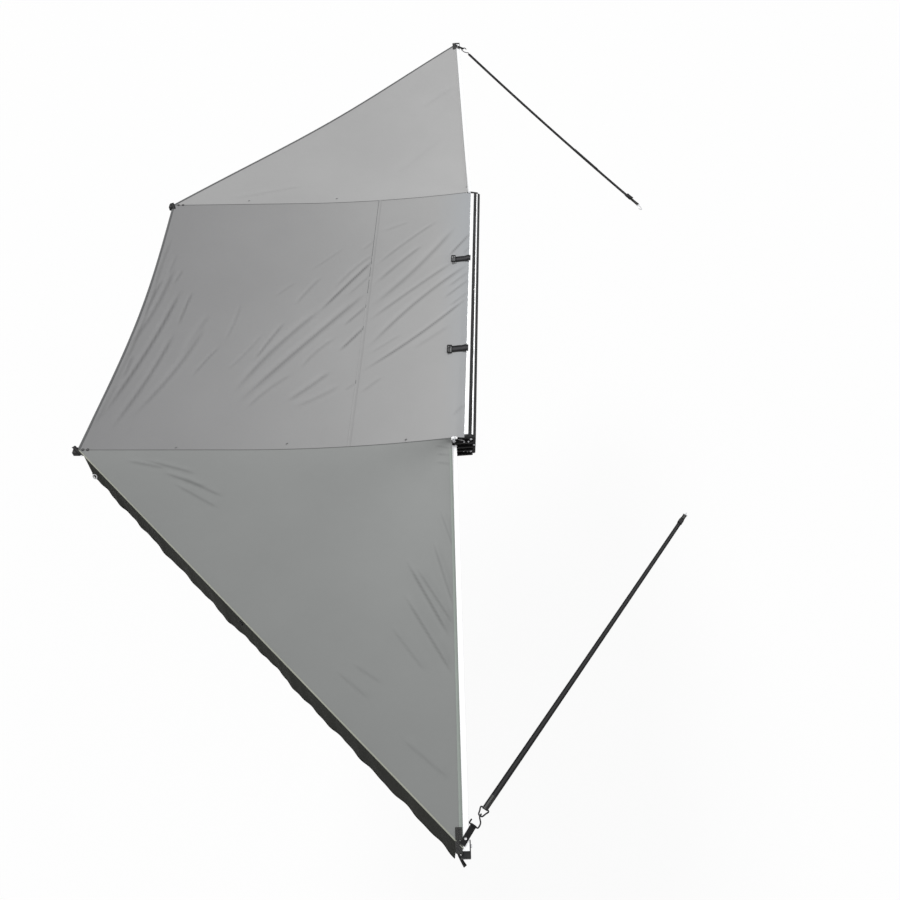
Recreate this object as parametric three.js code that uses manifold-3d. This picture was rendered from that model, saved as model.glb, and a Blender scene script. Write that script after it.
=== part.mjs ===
import * as THREE from 'three';
import { mergeVertices } from 'three/addons/utils/BufferGeometryUtils.js';
import Module from 'manifold-3d';

// A freestanding side awning: a back channel, two hinge brackets, four swing arms with telescopic legs
// nested in them, a three-panel canopy, hold-down straps and two guy straps.
// Millimetres and degrees. +Y points to the front end, -X is outboard, +Z is up.
// The origin is the centre of the channel's back face, which is bolted to what carries the awning.

const wasm = await Module();
wasm.setup();

// Running and seating clearances
const seatGap = 0.3;
const boreGap = 0.3;
const overrun = 2;
const mergeTolerance = 1e-4;

// Hinge pins: one upright pin at each end carries a wing arm above a corner arm
const pinY = 1050;
const frontPinX = -70;
const rearPinX = -114;
const pinRadius = 6;

// Open directions of the arms, counted from +X towards +Y
const frontWingAngle = 93.8;
const frontCornerAngle = 183;
const rearCornerAngle = 181.8;
const rearWingAngle = 272.95;

// Arm section and reach
const armReach = 2016;
const armWidth = 30;
const armHeight = 28;
const armWall = 2;
const armTopWall = 3.2;
const armCorner = 2;
const grooveWidth = 6;
const grooveDepth = 1.2;
const armStart = 18;

// The four arms fold over each other, so each has a height of its own
const levelPitch = 32;
const levelShares = { frontWing: 1.5, rearWing: 0.5, frontCorner: -0.5, rearCorner: -1.5 };

// Back channel, an extrusion open to the outboard side
const channelDepth = 50;
const channelHeight = 140;
const channelWall = 4;
const channelFlange = 3.5;
const channelLip = 8;
const slotHeight = 35;
const slotMouth = 8.4;
const slotWidth = 15;
const slotDepth = 6;
const slotLand = 3;
const slotWall = 3;

// Rails on top of the channel: one holds the canopy's bead, the other the travel cover's
const canopyRailX = -50;
const canopyRailWidth = 20;
const canopyRailHeight = 8;
const canopyRailRound = 1.5;
const beadRadius = 2.6;
const beadSlit = 2;
const coverRailX = -18;
const coverRailWidth = 7;
const coverRailHeight = 5;

// Hinge brackets
const plateInset = 20;
const plateThickness = 10;
const plateHipGap = 3;
const lugThickness = 8;
const lugRound = 15;
const lugRootX = -14;
const lugRootWidth = 18;
const plateRound = 8;
const pocketRound = 6;
const pocketMargin = 16;
const pocketDepth = 4;
const plateBoltX = -25;
const plateBoltRise = 50;
const boltRadius = 4;
const boltHeadRadius = 7;
const boltHeadHeight = 5;
const boltShankLength = 14;
const pinHeadRadius = 10;
const pinHeadHeight = 7;
const pinFootRadius = 9;
const pinFootHeight = 5;
const pinSides = 16;

// Arm ends
const hubRadius = 14;
const hubTongueEnd = 75;
const hubTongueDrop = 12;
const tipNose = 24;
const cheekRun = 65;
const cheekThickness = 3.5;
const armEnd = armReach - tipNose;

// Telescopic legs, stowed inside the arms
const legPivotSetback = 45;
const legPivotX = armReach - legPivotSetback;
const legWall = 1.5;
const legSlideGap = 0.4;
const legTubeLength = 1150;
const legPlug = 12;
const legInnerWall = 1.3;
const legInnerShows = 90;
const legStopGap = 88;
const footWall = 3.4;
const footLength = 28;
const footSeatDepth = 18;
const footTread = 2;
const collarSideGap = 0.8;
const collarTopGap = 1.1;
const collarWall = 2.7;
const collarLength = 38;
const collarLip = 8;
const collarRibs = 9;
const collarRibDepth = 0.9;

// The collar fills the arm's open underside, and the tubes nest inside it
const collarRadius = armWidth / 2 - armWall - collarSideGap;
const legRadius = collarRadius - collarWall;
const legInnerRadius = legRadius - legWall - legSlideGap;
const footRadius = legInnerRadius + footWall;
const legDrop = collarRadius + collarTopGap - (armHeight / 2 - armTopWall);

// Canopy cloth
const clothThickness = 1.2;
const clothLift = 0.8;
const seamGap = 0.4;
const hemFromMiddle = 10;
const cornerSetback = 32;
const cornerReach = armReach - cornerSetback;
const apexReach = 32;
const frontPinSkirt = 27;
const pinSkirtLength = 100;
const railClothRise = 4;
const foldRise = 1150;
const apexRise = 14;
const tipLift = 1;
const mainSag = 26;
const frontSag = 22;
const rearSag = 26;
const ridgeHeight = 15;
const mainEdgeDraw = 45;
const frontEdgeDraw = 42;
const rearEdgeDraw = 3;

// Valance along the rear panel's outer edge
const valanceDrop = 250;
const valanceDropShares = [0.4, 0.46, 0.6, 0.52, 0.58, 0.72, 0.66, 0.84, 1];
const valanceWave = 12;
const valanceCornerInset = 52;
const valanceWingInset = 36;
const valanceWaves = 5;

// Hold-down straps that tie the folded bundle
const holdDownYs = [375, -403];
const holdDownWidth = 38;
const holdDownLength = 92;
const holdDownThickness = 2;
const holdDownTuck = 8;
const holdDownFallFrom = 13;
const holdDownFallTo = 40;
const buckleLength = 26;
const buckleWidth = 50;
const buckleHeight = 7;
const buckleBar = 6;

// Corner loops: a webbing sleeve on the canopy's corner with a tab over the arm
const sleeveSetback = 10;
const sleeveLength = 100;
const sleeveInner = 13;
const sleeveWidth = 27;
const loopSetback = 68;
const loopReach = 56;
const loopTail = 26;
const loopRound = 5.4;
const grommetBore = 5.5;

// Guy straps and their hardware
const webbingWidth = 25;
const webbingThickness = 2.4;
const webbingEdge = 0.5;
const webbingGap = 0.7;
const strapSteps = 36;
const routeSpans = 8;
const frontStrapEnd = [1240, 1866, -590];
const rearStrapEnd = [1370, -718, -1092];
const frontStrapSag = 15;
const rearStrapSag = 12;
const frontHookSpan = 66;
const rearHookSpan = 101;
const wireRadius = 2.6;
const wireSides = 6;
const sHookSteps = 28;
const ringSteps = 26;
const endHookSteps = 20;
const hookSlack = 0.6;
const hookTail = 20;
const hookCorner = 6;
const ringLength = 41;
const ringWidth = 36;
const ringNose = 14;
const endHookEye = 14;
const endHookLength = 46;
const endHookOpening = 22;

const flatMetal = { color: 0xd6d8da, roughness: 0.32, metalness: 0.9 };
const blackCoat = { color: 0x151517, roughness: 0.5, metalness: 0.35 };
const blackPlastic = { color: 0x1a1a1b, roughness: 0.55, metalness: 0 };
const zincPlate = { color: 0xa9abae, roughness: 0.35, metalness: 0.85 };
const blackWire = { color: 0x17181a, roughness: 0.4, metalness: 0.5 };
const softRubber = { color: 0x1c1c1c, roughness: 0.85, metalness: 0 };
const webbing = { color: 0x222224, roughness: 0.9, metalness: 0 };
const lightCloth = { color: 0xb0b0b0, roughness: 0.75, metalness: 0 };
const midCloth = { color: 0x9a9a9a, roughness: 0.75, metalness: 0 };
const darkCloth = { color: 0x8f8f8f, roughness: 0.75, metalness: 0 };
const blackCloth = { color: 0x1d1e1b, roughness: 0.85, metalness: 0 };

const awning = new THREE.Group();

// Solids

function solidOf(geometry) {
  const bare = geometry.index ? geometry.toNonIndexed() : geometry.clone();
  bare.deleteAttribute('normal');
  bare.deleteAttribute('uv');
  const merged = mergeVertices(bare, mergeTolerance);
  return new wasm.Manifold(new wasm.Mesh({
    numProp: 3,
    vertProperties: new Float32Array(merged.attributes.position.array),
    triVerts: new Uint32Array(merged.index.array),
  }));
}

function geometryOf(solid) {
  const mesh = solid.getMesh();
  const geometry = new THREE.BufferGeometry();
  geometry.setAttribute('position', new THREE.BufferAttribute(new Float32Array(mesh.vertProperties), 3));
  geometry.setIndex(new THREE.BufferAttribute(new Uint32Array(mesh.triVerts), 1));
  geometry.computeVertexNormals();
  return geometry;
}

function joined(...geometries) {
  return geometryOf(geometries.map(solidOf).reduce((whole, next) => whole.add(next)));
}

function cutFrom(geometry, ...tools) {
  return geometryOf(tools.map(solidOf).reduce((left, tool) => left.subtract(tool), solidOf(geometry)));
}

function addPart(group, name, geometry, look) {
  const mesh = new THREE.Mesh(geometry, new THREE.MeshStandardMaterial(look));
  mesh.name = name;
  group.add(mesh);
  return mesh;
}

// Plane outlines

function rectangle(x0, y0, x1, y1) {
  const shape = new THREE.Shape();
  shape.moveTo(x0, y0);
  shape.lineTo(x1, y0);
  shape.lineTo(x1, y1);
  shape.lineTo(x0, y1);
  shape.closePath();
  return shape;
}

function roundedRectangle(x0, y0, x1, y1, round) {
  const shape = new THREE.Shape();
  shape.moveTo(x0 + round, y0);
  shape.lineTo(x1 - round, y0);
  shape.absarc(x1 - round, y0 + round, round, -Math.PI / 2, 0, false);
  shape.lineTo(x1, y1 - round);
  shape.absarc(x1 - round, y1 - round, round, 0, Math.PI / 2, false);
  shape.lineTo(x0 + round, y1);
  shape.absarc(x0 + round, y1 - round, round, Math.PI / 2, Math.PI, false);
  shape.lineTo(x0, y0 + round);
  shape.absarc(x0 + round, y0 + round, round, Math.PI, 1.5 * Math.PI, false);
  return shape;
}

function disc(radius, x = 0, y = 0) {
  const shape = new THREE.Shape();
  shape.absarc(x, y, radius, 0, 2 * Math.PI, false);
  return shape;
}

function polygon(radius, sides) {
  const shape = new THREE.Shape();
  for (let i = 0; i < sides; i += 1) {
    const turn = (2 * Math.PI * i) / sides;
    shape[i ? 'lineTo' : 'moveTo'](radius * Math.cos(turn), radius * Math.sin(turn));
  }
  shape.closePath();
  return shape;
}

// Extrusions: along X the outline's x and y become Y and Z, along Y they become X and Z

function extruded(shape, length, segments) {
  return new THREE.ExtrudeGeometry(shape, { depth: length, bevelEnabled: false, curveSegments: segments });
}

function alongX(shape, from, to, segments = 6) {
  const turn = new THREE.Matrix4().set(0, 0, 1, from, 1, 0, 0, 0, 0, 1, 0, 0, 0, 0, 0, 1);
  return extruded(shape, to - from, segments).applyMatrix4(turn);
}

function alongY(shape, from, to, segments = 6) {
  return extruded(shape, to - from, segments).rotateX(Math.PI / 2).translate(0, to, 0);
}

function alongZ(shape, from, to, segments = 6) {
  return extruded(shape, to - from, segments).translate(0, 0, from);
}

function box(x0, x1, y0, y1, z0, z1) {
  return alongZ(rectangle(x0, y0, x1, y1), z0, z1);
}

function wireAlong(points, radius, steps, sides) {
  const path = new THREE.CatmullRomCurve3(points, false, 'centripetal');
  const settings = { steps, extrudePath: path, bevelEnabled: false };
  return new THREE.ExtrudeGeometry(polygon(radius, sides), settings);
}

// A closed sheet between a face and the same face moved by a thickness vector

function sheet(pointAt, across, along, thickness) {
  const columns = across + 1;
  const rows = along + 1;
  const points = [];
  for (const side of [0, 1]) {
    for (let j = 0; j < rows; j += 1) {
      for (let i = 0; i < columns; i += 1) {
        const point = pointAt(i / across, j / along);
        points.push(side ? point.add(thickness(i / across, j / along)) : point);
      }
    }
  }
  const at = (side, i, j) => side * columns * rows + j * columns + i;
  const faces = [];
  const quad = (a, b, c, d) => faces.push(a, b, c, a, c, d);
  for (let j = 0; j < along; j += 1) {
    for (let i = 0; i < across; i += 1) {
      quad(at(0, i, j), at(0, i + 1, j), at(0, i + 1, j + 1), at(0, i, j + 1));
      quad(at(1, i, j), at(1, i, j + 1), at(1, i + 1, j + 1), at(1, i + 1, j));
    }
  }
  for (let i = 0; i < across; i += 1) {
    quad(at(0, i, 0), at(1, i, 0), at(1, i + 1, 0), at(0, i + 1, 0));
    quad(at(0, i, along), at(0, i + 1, along), at(1, i + 1, along), at(1, i, along));
  }
  for (let j = 0; j < along; j += 1) {
    quad(at(0, 0, j), at(0, 0, j + 1), at(1, 0, j + 1), at(1, 0, j));
    quad(at(0, across, j), at(1, across, j), at(1, across, j + 1), at(0, across, j + 1));
  }
  let volume = 0;
  for (let f = 0; f < faces.length; f += 3) {
    const [a, b, c] = [points[faces[f]], points[faces[f + 1]], points[faces[f + 2]]];
    volume += a.dot(b.clone().cross(c));
  }
  if (volume < 0) faces.reverse();
  const geometry = new THREE.BufferGeometry();
  geometry.setAttribute('position', new THREE.Float32BufferAttribute(points.flatMap((p) => p.toArray()), 3));
  geometry.setIndex(faces);
  geometry.computeVertexNormals();
  return geometry;
}

const lerp = THREE.MathUtils.lerp;
const smooth = (x, from, to) => THREE.MathUtils.smoothstep(x, from, to);
const radians = THREE.MathUtils.degToRad;

// Back channel with two slots for sliding bolt heads, and the rails on it

const channelHalf = pinY - plateInset - seatGap;
const channelTop = channelHeight / 2;

function backChannel() {
  const outer = alongY(rectangle(-channelDepth, -channelTop, 0, channelTop), -channelHalf, channelHalf);
  const ends = [-channelHalf - overrun, channelHalf + overrun];
  const roofline = channelTop - channelFlange;
  const hollow = alongY(rectangle(-channelDepth + channelFlange, -roofline, -channelWall, roofline), ...ends);
  const lipline = roofline - channelLip;
  const mouth = alongY(rectangle(-channelDepth - overrun, -lipline, -channelDepth / 2, lipline), ...ends);
  let channel = cutFrom(outer, hollow, mouth);
  for (const side of [-1, 1]) {
    const z = side * slotHeight;
    const bossHalf = slotWidth / 2 + slotWall;
    const bossDepth = slotLand + slotDepth + slotWall;
    channel = joined(channel, alongY(
      rectangle(-bossDepth, z - bossHalf, -channelWall / 2, z + bossHalf), -channelHalf, channelHalf));
    const cavity = rectangle(-slotLand - slotDepth, z - slotWidth / 2, -slotLand, z + slotWidth / 2);
    const slit = rectangle(-slotLand - slotDepth / 2, z - slotMouth / 2, overrun, z + slotMouth / 2);
    channel = cutFrom(channel, alongY(cavity, ...ends), alongY(slit, ...ends));
  }
  return channel;
}

function canopyRail() {
  const half = canopyRailWidth / 2;
  const outline = roundedRectangle(
    canopyRailX - half, 0, canopyRailX + half, canopyRailHeight, canopyRailRound);
  const bar = alongY(outline, -channelHalf, channelHalf, 3);
  const beadX = canopyRailX - half + beadRadius + beadSlit;
  const ends = [-channelHalf - overrun, channelHalf + overrun];
  const middle = canopyRailHeight / 2;
  const bead = alongY(disc(beadRadius, beadX, middle), ...ends);
  const slit = alongY(rectangle(
    canopyRailX - half - overrun, middle - beadSlit / 2, beadX, middle + beadSlit / 2), ...ends);
  return cutFrom(bar, bead, slit).translate(0, 0, channelTop + seatGap);
}

function coverRail() {
  const half = coverRailWidth / 2;
  const outline = roundedRectangle(
    coverRailX - half, 0, coverRailX + half, coverRailHeight, canopyRailRound);
  return alongY(outline, -channelHalf, channelHalf, 3).translate(0, 0, channelTop + seatGap);
}

addPart(awning, 'back_channel', backChannel(), blackCoat);
addPart(awning, 'canopy_rail', canopyRail(), flatMetal);
addPart(awning, 'cover_rail', coverRail(), flatMetal);

// Hinge brackets: an end plate on the channel's end, with a lug above and below each arm's hub

function bracket(pinX, levels, side) {
  const plateIn = pinY - plateInset;
  const plateOut = plateIn + plateThickness;
  const hipX = pinX + armWidth / 2 + plateHipGap;
  const plate = alongY(
    roundedRectangle(hipX, -channelTop, 0, channelTop, plateRound), plateIn, plateOut, 4);
  const pocket = alongY(roundedRectangle(
    hipX + pocketMargin / 2, -channelTop + pocketMargin, -channelDepth + pocketMargin / 2,
    channelTop - pocketMargin, pocketRound), plateOut - pocketDepth, plateOut + overrun, 4);
  const lug = new THREE.Shape();
  lug.moveTo(lugRootX, plateIn + plateThickness / 2);
  lug.lineTo(lugRootX, plateIn + plateThickness / 2 + lugRootWidth);
  lug.lineTo(pinX, pinY + lugRound);
  lug.absarc(pinX, pinY, lugRound, Math.PI / 2, 1.5 * Math.PI, false);
  lug.lineTo(hipX, plateIn + plateThickness / 4);
  lug.closePath();
  const reach = armHeight / 2;
  const lugs = levels.flatMap((z) => [
    alongZ(lug, z + reach, z + reach + lugThickness, 6),
    alongZ(lug, z - reach - lugThickness, z - reach, 6),
  ]);
  const body = joined(hipX + pocketMargin < -channelDepth ? cutFrom(plate, pocket) : plate, ...lugs);
  const bore = alongZ(
    disc(pinRadius + boreGap, pinX, pinY), -channelHeight, channelHeight, 7);
  const boltBores = [-1, 1].map((rise) => alongY(
    disc(boltRadius + boreGap, plateBoltX, rise * plateBoltRise), plateIn - overrun, plateOut + overrun, 5));
  const whole = cutFrom(body, bore, ...boltBores);
  return side > 0 ? whole : mirroredY(whole);
}

function mirroredY(geometry) {
  const flipped = geometry.clone().scale(1, -1, 1);
  const index = flipped.index.array;
  for (let i = 0; i < index.length; i += 3) {
    [index[i], index[i + 1]] = [index[i + 1], index[i]];
  }
  flipped.computeVertexNormals();
  return flipped;
}

// A piece turned about Z from pairs of radius and height that start and end on the axis

function turned(profile, segments) {
  const points = profile.map(([radius, height]) => new THREE.Vector2(radius, height));
  return new THREE.LatheGeometry(points, segments).rotateX(Math.PI / 2);
}

function hingePin(topZ, bottomZ) {
  const dome = pinHeadHeight * 0.65;
  const footTop = bottomZ - seatGap;
  return turned([
    [0, footTop - pinFootHeight],
    [pinFootRadius * 0.7, footTop - pinFootHeight],
    [pinFootRadius, footTop - pinFootHeight / 2],
    [pinFootRadius, footTop],
    [pinRadius, footTop],
    [pinRadius, topZ + seatGap],
    [pinHeadRadius, topZ + seatGap],
    [pinHeadRadius, topZ + seatGap + dome],
    [pinHeadRadius * 0.75, topZ + seatGap + pinHeadHeight],
    [0, topZ + seatGap + pinHeadHeight],
  ], pinSides);
}

function plateBolt() {
  const socket = polygon(boltHeadRadius / 2, 6);
  const profile = [
    [0, -boltShankLength],
    [boltRadius, -boltShankLength],
    [boltRadius, 0],
    [boltHeadRadius, 0],
    [boltHeadRadius, boltHeadHeight * 0.5],
    [boltHeadRadius * 0.72, boltHeadHeight],
    [0, boltHeadHeight],
  ];
  return cutFrom(turned(profile, 12), alongZ(socket, boltHeadHeight / 2, boltHeadHeight + overrun));
}

const levelOf = (name) => levelShares[name] * levelPitch;
const reachOfLug = armHeight / 2 + lugThickness;
const ends = [
  { name: 'front', side: 1, pinX: frontPinX, levels: [levelOf('frontWing'), levelOf('frontCorner')] },
  { name: 'rear', side: -1, pinX: rearPinX, levels: [levelOf('rearWing'), levelOf('rearCorner')] },
];

for (const end of ends) {
  const topZ = end.levels[0] + reachOfLug;
  const bottomZ = end.levels[1] - reachOfLug;
  addPart(awning, `${end.name}_bracket`, bracket(end.pinX, end.levels, end.side), blackCoat);
  const pin = addPart(awning, `${end.name}_pin`, hingePin(topZ, bottomZ), zincPlate);
  pin.position.set(end.pinX, end.side * pinY, 0);
  for (const [place, rise] of [['upper', 1], ['lower', -1]]) {
    const bolt = addPart(awning, `${end.name}_plate_bolt_${place}`, plateBolt(), zincPlate);
    const faceY = pinY - plateInset + plateThickness + seatGap;
    bolt.position.set(plateBoltX, end.side * faceY, rise * plateBoltRise);
    bolt.rotation.x = -end.side * Math.PI / 2;
  }
}

// Arms, modelled along +X from the pin's axis, with the leg in the open underside

function armBar() {
  const half = armWidth / 2;
  const top = armHeight / 2;
  const bar = alongX(roundedRectangle(-half, -top, half, top, armCorner), armStart, armEnd, 3);
  const tools = [
    alongX(rectangle(-half + armWall, -top - overrun, half - armWall, top - armTopWall),
      armStart - overrun, armEnd + overrun),
    alongX(rectangle(-grooveWidth / 2, top - grooveDepth, grooveWidth / 2, top + overrun),
      armStart - overrun, armEnd + overrun),
    alongY(disc(boltRadius + boreGap, legPivotX, -legDrop), -armWidth, armWidth, 5),
  ];
  return cutFrom(bar, ...tools);
}

function armHub() {
  const barrelHalf = armHeight / 2 - seatGap;
  const barrel = alongZ(disc(hubRadius), -barrelHalf, barrelHalf, 10);
  const tongueHalf = armWidth / 2 - armWall - seatGap;
  const tongue = box(
    0, hubTongueEnd, -tongueHalf, tongueHalf, -hubTongueDrop, armHeight / 2 - armTopWall - seatGap);
  const whole = joined(barrel, tongue);
  return cutFrom(whole, alongZ(disc(pinRadius + boreGap), -armHeight, armHeight, 8));
}

function armTip() {
  const inner = armWidth / 2 + seatGap;
  const outer = inner + cheekThickness;
  const half = armHeight / 2;
  const cheek = roundedRectangle(armReach - cheekRun, -half, armReach, half, armCorner * 2);
  const cheeks = [[-outer, -inner], [inner, outer]].map(([from, to]) => alongY(cheek, from, to, 2));
  const nose = alongY(
    roundedRectangle(armEnd + seatGap, -half, armReach, half, armCorner * 2), -outer, outer, 2);
  return cutFrom(
    joined(nose, ...cheeks),
    alongY(disc(boltRadius + boreGap, legPivotX, -legDrop), -armWidth, armWidth, 5),
  );
}

function legBolt() {
  const face = armWidth / 2 + seatGap + cheekThickness + seatGap;
  return turned([
    [0, -face - boltHeadHeight],
    [boltHeadRadius, -face - boltHeadHeight],
    [boltHeadRadius, -face],
    [boltRadius, -face],
    [boltRadius, face],
    [boltHeadRadius, face],
    [boltHeadRadius, face + boltHeadHeight / 2],
    [boltHeadRadius * 0.75, face + boltHeadHeight],
    [0, face + boltHeadHeight],
  ], 12).rotateX(Math.PI / 2);
}

const legMouth = legPivotX - legTubeLength;

function legTube() {
  const eyeHalf = armWidth / 2 - armWall - seatGap;
  const tube = alongX(disc(legRadius), legMouth, legPivotX, 8);
  const eye = alongY(disc(legRadius, legPivotX), -eyeHalf, eyeHalf, 8);
  const bore = alongX(disc(legRadius - legWall), legMouth - overrun, legPivotX - legRadius - legPlug, 8);
  const pivot = alongY(disc(boltRadius + boreGap, legPivotX), -armWidth, armWidth, 5);
  return cutFrom(joined(tube, eye), bore, pivot);
}

const legSocketDepth = legTubeLength - legRadius - legPlug;
const innerStart = legMouth - legInnerShows;
const legInnerLength = legInnerShows + legSocketDepth - legStopGap;

function legInner() {
  const tube = alongX(disc(legInnerRadius), innerStart, innerStart + legInnerLength, 8);
  const bore = alongX(
    disc(legInnerRadius - legInnerWall), innerStart - overrun, innerStart + legInnerLength + overrun, 8);
  return cutFrom(tube, bore);
}

function legFoot() {
  const mouth = innerStart + footSeatDepth;
  const start = mouth - footLength;
  const body = turned([
    [0, start],
    [footRadius - footTread, start],
    [footRadius, start + footTread],
    [footRadius, start + footLength * 0.4],
    [footRadius - footTread * 0.7, start + footLength * 0.5],
    [footRadius - footTread * 0.7, mouth],
    [0, mouth],
  ], 16).rotateY(Math.PI / 2);
  const seat = alongX(disc(legInnerRadius + seatGap), innerStart - seatGap, mouth + overrun, 8);
  return cutFrom(body, seat);
}

function lockCollar() {
  const start = legMouth - collarLip;
  const end = start + collarLength;
  const outline = new THREE.Shape();
  const ribCorners = [[0, 0], [0.45, 0], [0.55, 1], [0.9, 1]];
  for (let i = 0; i < collarRibs * ribCorners.length; i += 1) {
    const [turnShare, depthShare] = ribCorners[i % ribCorners.length];
    const turn = (2 * Math.PI * (Math.floor(i / ribCorners.length) + turnShare)) / collarRibs;
    const radius = collarRadius - depthShare * collarRibDepth;
    outline[i ? 'lineTo' : 'moveTo'](radius * Math.cos(turn), radius * Math.sin(turn));
  }
  outline.closePath();
  return cutFrom(
    alongX(outline, start, end),
    alongX(disc(legRadius + seatGap), legMouth - seatGap, end + overrun, 8),
    alongX(disc(legInnerRadius + seatGap), start - overrun, end + overrun, 8),
  );
}

const arms = [
  { name: 'front_wing', level: 'frontWing', x: frontPinX, y: pinY, angle: frontWingAngle },
  { name: 'front_corner', level: 'frontCorner', x: frontPinX, y: pinY, angle: frontCornerAngle },
  { name: 'rear_corner', level: 'rearCorner', x: rearPinX, y: -pinY, angle: rearCornerAngle },
  { name: 'rear_wing', level: 'rearWing', x: rearPinX, y: -pinY, angle: rearWingAngle },
];

const armGroups = {};
for (const arm of arms) {
  const group = new THREE.Group();
  armGroups[arm.name] = group;
  group.position.set(arm.x, arm.y, levelOf(arm.level));
  group.rotation.z = radians(arm.angle);
  awning.add(group);
  addPart(group, `${arm.name}_arm`, armBar(), flatMetal);
  addPart(group, `${arm.name}_hub`, armHub(), blackCoat);
  addPart(group, `${arm.name}_tip`, armTip(), blackPlastic);
  const leg = new THREE.Group();
  leg.position.z = -legDrop;
  group.add(leg);
  addPart(leg, `${arm.name}_leg_bolt`, legBolt().translate(legPivotX, 0, 0), zincPlate);
  addPart(leg, `${arm.name}_leg_tube`, legTube(), flatMetal);
  addPart(leg, `${arm.name}_leg_extension`, legInner(), flatMetal);
  addPart(leg, `${arm.name}_leg_foot`, legFoot(), softRubber);
  addPart(leg, `${arm.name}_leg_collar`, lockCollar(), blackPlastic);
}

// Canopy: three panels that meet along the lines over the corner arms

const clothEdgeX = canopyRailX - canopyRailWidth / 2 - seatGap;
const clothEdgeZ = channelTop + seatGap + railClothRise;
const armTop = armHeight / 2;

const clothOverArm = armTop + clothLift + clothThickness;
const folds = {
  front: {
    pinX: frontPinX,
    y: pinY,
    side: 1,
    slope: Math.tan(radians(frontCornerAngle - 180)),
    top: levelOf('frontCorner') + clothOverArm,
    levelTo: clothEdgeX,
    skirt: frontPinSkirt,
  },
  rear: {
    pinX: rearPinX,
    y: -pinY,
    side: -1,
    slope: Math.tan(radians(rearCornerAngle - 180)),
    top: levelOf('rearCorner') + clothOverArm,
    levelTo: rearPinX + armWidth / 2,
    skirt: 0,
  },
};

// Height of the cloth's top face over a corner arm: level over the bracket, on the arm in its outer half
function foldHeight(fold, x) {
  const share = THREE.MathUtils.clamp((fold.levelTo - x) / foldRise, 0, 1);
  return fold.top + (clothEdgeZ - fold.top) * (1 - share) ** 2;
}

function foldY(fold, x) {
  return fold.y + (x - fold.pinX) * fold.slope;
}

// The main panel's edge keeps clear of the front pin's head and passes over the rear one
function mainEdgeY(fold, x) {
  const away = smooth(fold.pinX - x, 0, pinSkirtLength);
  const y = x < fold.pinX ? foldY(fold, x) : fold.y;
  return y - fold.side * (seamGap / 2 + fold.skirt * (1 - away));
}

const armLine = (arm, reach, lateral = 0) => {
  const turn = radians(arm.angle);
  return new THREE.Vector2(
    arm.x + reach * Math.cos(turn) - lateral * Math.sin(turn),
    arm.y + reach * Math.sin(turn) + lateral * Math.cos(turn),
  );
};
const armNamed = (name) => arms.find((arm) => arm.name === name);
const frontCornerTip = armLine(armNamed('front_corner'), cornerReach);
const rearCornerTip = armLine(armNamed('rear_corner'), cornerReach);

// Slack folds of the main panel run from the rear outer corner towards the rail's front end.
// Each is a ridge: its place beside that run, its width, height and stretch, all in shares.
const mainFolds = [
  { asideShare: 0.085, widthShare: 0.032, heightShare: 0.87, fromShare: 0.35, toShare: 0.95 },
  { asideShare: 0.007, widthShare: 0.029, heightShare: 1, fromShare: 0.4, toShare: 0.98 },
  { asideShare: -0.078, widthShare: 0.03, heightShare: 0.93, fromShare: 0.45, toShare: 0.98 },
  { asideShare: -0.159, widthShare: 0.027, heightShare: 0.67, fromShare: 0.55, toShare: 0.95 },
];
const ridgeFadeShare = 0.2;
const foldStart = new THREE.Vector2(rearCornerTip.x, rearCornerTip.y);
const foldRun = new THREE.Vector2(clothEdgeX, pinY).sub(foldStart);

function ridges(list, start, run, point) {
  const length = run.length();
  const unit = run.clone().divideScalar(length);
  const from = point.clone().sub(start);
  const along = from.dot(unit) / length;
  const aside = (from.x * -unit.y + from.y * unit.x) / length;
  return list.reduce((height, ridge) => {
    const { fromShare, toShare } = ridge;
    const window = smooth(along, fromShare, fromShare + ridgeFadeShare)
      * (1 - smooth(along, toShare - ridgeFadeShare, toShare));
    const bell = Math.exp(-(((aside - ridge.asideShare) / ridge.widthShare) ** 2));
    return height + window * bell * ridgeHeight * ridge.heightShare;
  }, 0);
}

// How slack the cloth is: nothing along its two held sides, most towards the middle of its open edge
function slackness(across, out, outShare, startShare) {
  return Math.sin(Math.PI * across) ** 2 * Math.sin(Math.PI * Math.min(1, out * outShare + startShare));
}

const mainSlack = { outShare: 0.8, startShare: 0.04 };
const wingSlack = { outShare: 0.75, startShare: 0.05 };
const railRimShare = 0.06;
const seamRimShare = 0.08;

function mainSurface(s, x) {
  const frontY = mainEdgeY(folds.front, x);
  const rearY = mainEdgeY(folds.rear, x);
  const y = lerp(frontY, rearY, s);
  const out = THREE.MathUtils.clamp((clothEdgeX - x) / (clothEdgeX - frontCornerTip.x), 0, 1);
  const loose = slackness(s, out, mainSlack.outShare, mainSlack.startShare);
  const base = lerp(foldHeight(folds.front, x), foldHeight(folds.rear, x), s);
  const ridge = ridges(mainFolds, foldStart, foldRun, new THREE.Vector2(x, y));
  const seamRim = smooth(s, 0, seamRimShare) * (1 - smooth(s, 1 - seamRimShare, 1));
  const rim = smooth(out, 0, railRimShare) * seamRim;
  return new THREE.Vector3(x, y, base - mainSag * loose + ridge * rim);
}

const panelCells = 22;
const wingPanelCells = 18;
const valanceCells = [36, 3];
const holdDownCells = [4, 8];
const mainChordX = (s) => lerp(frontCornerTip.x, rearCornerTip.x, s);
const mainOuterX = (s) => mainChordX(s) + mainEdgeDraw * Math.sin(Math.PI * s);

function mainPoint(s, t) {
  return mainSurface(s, lerp(clothEdgeX, mainOuterX(s), t));
}

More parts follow.
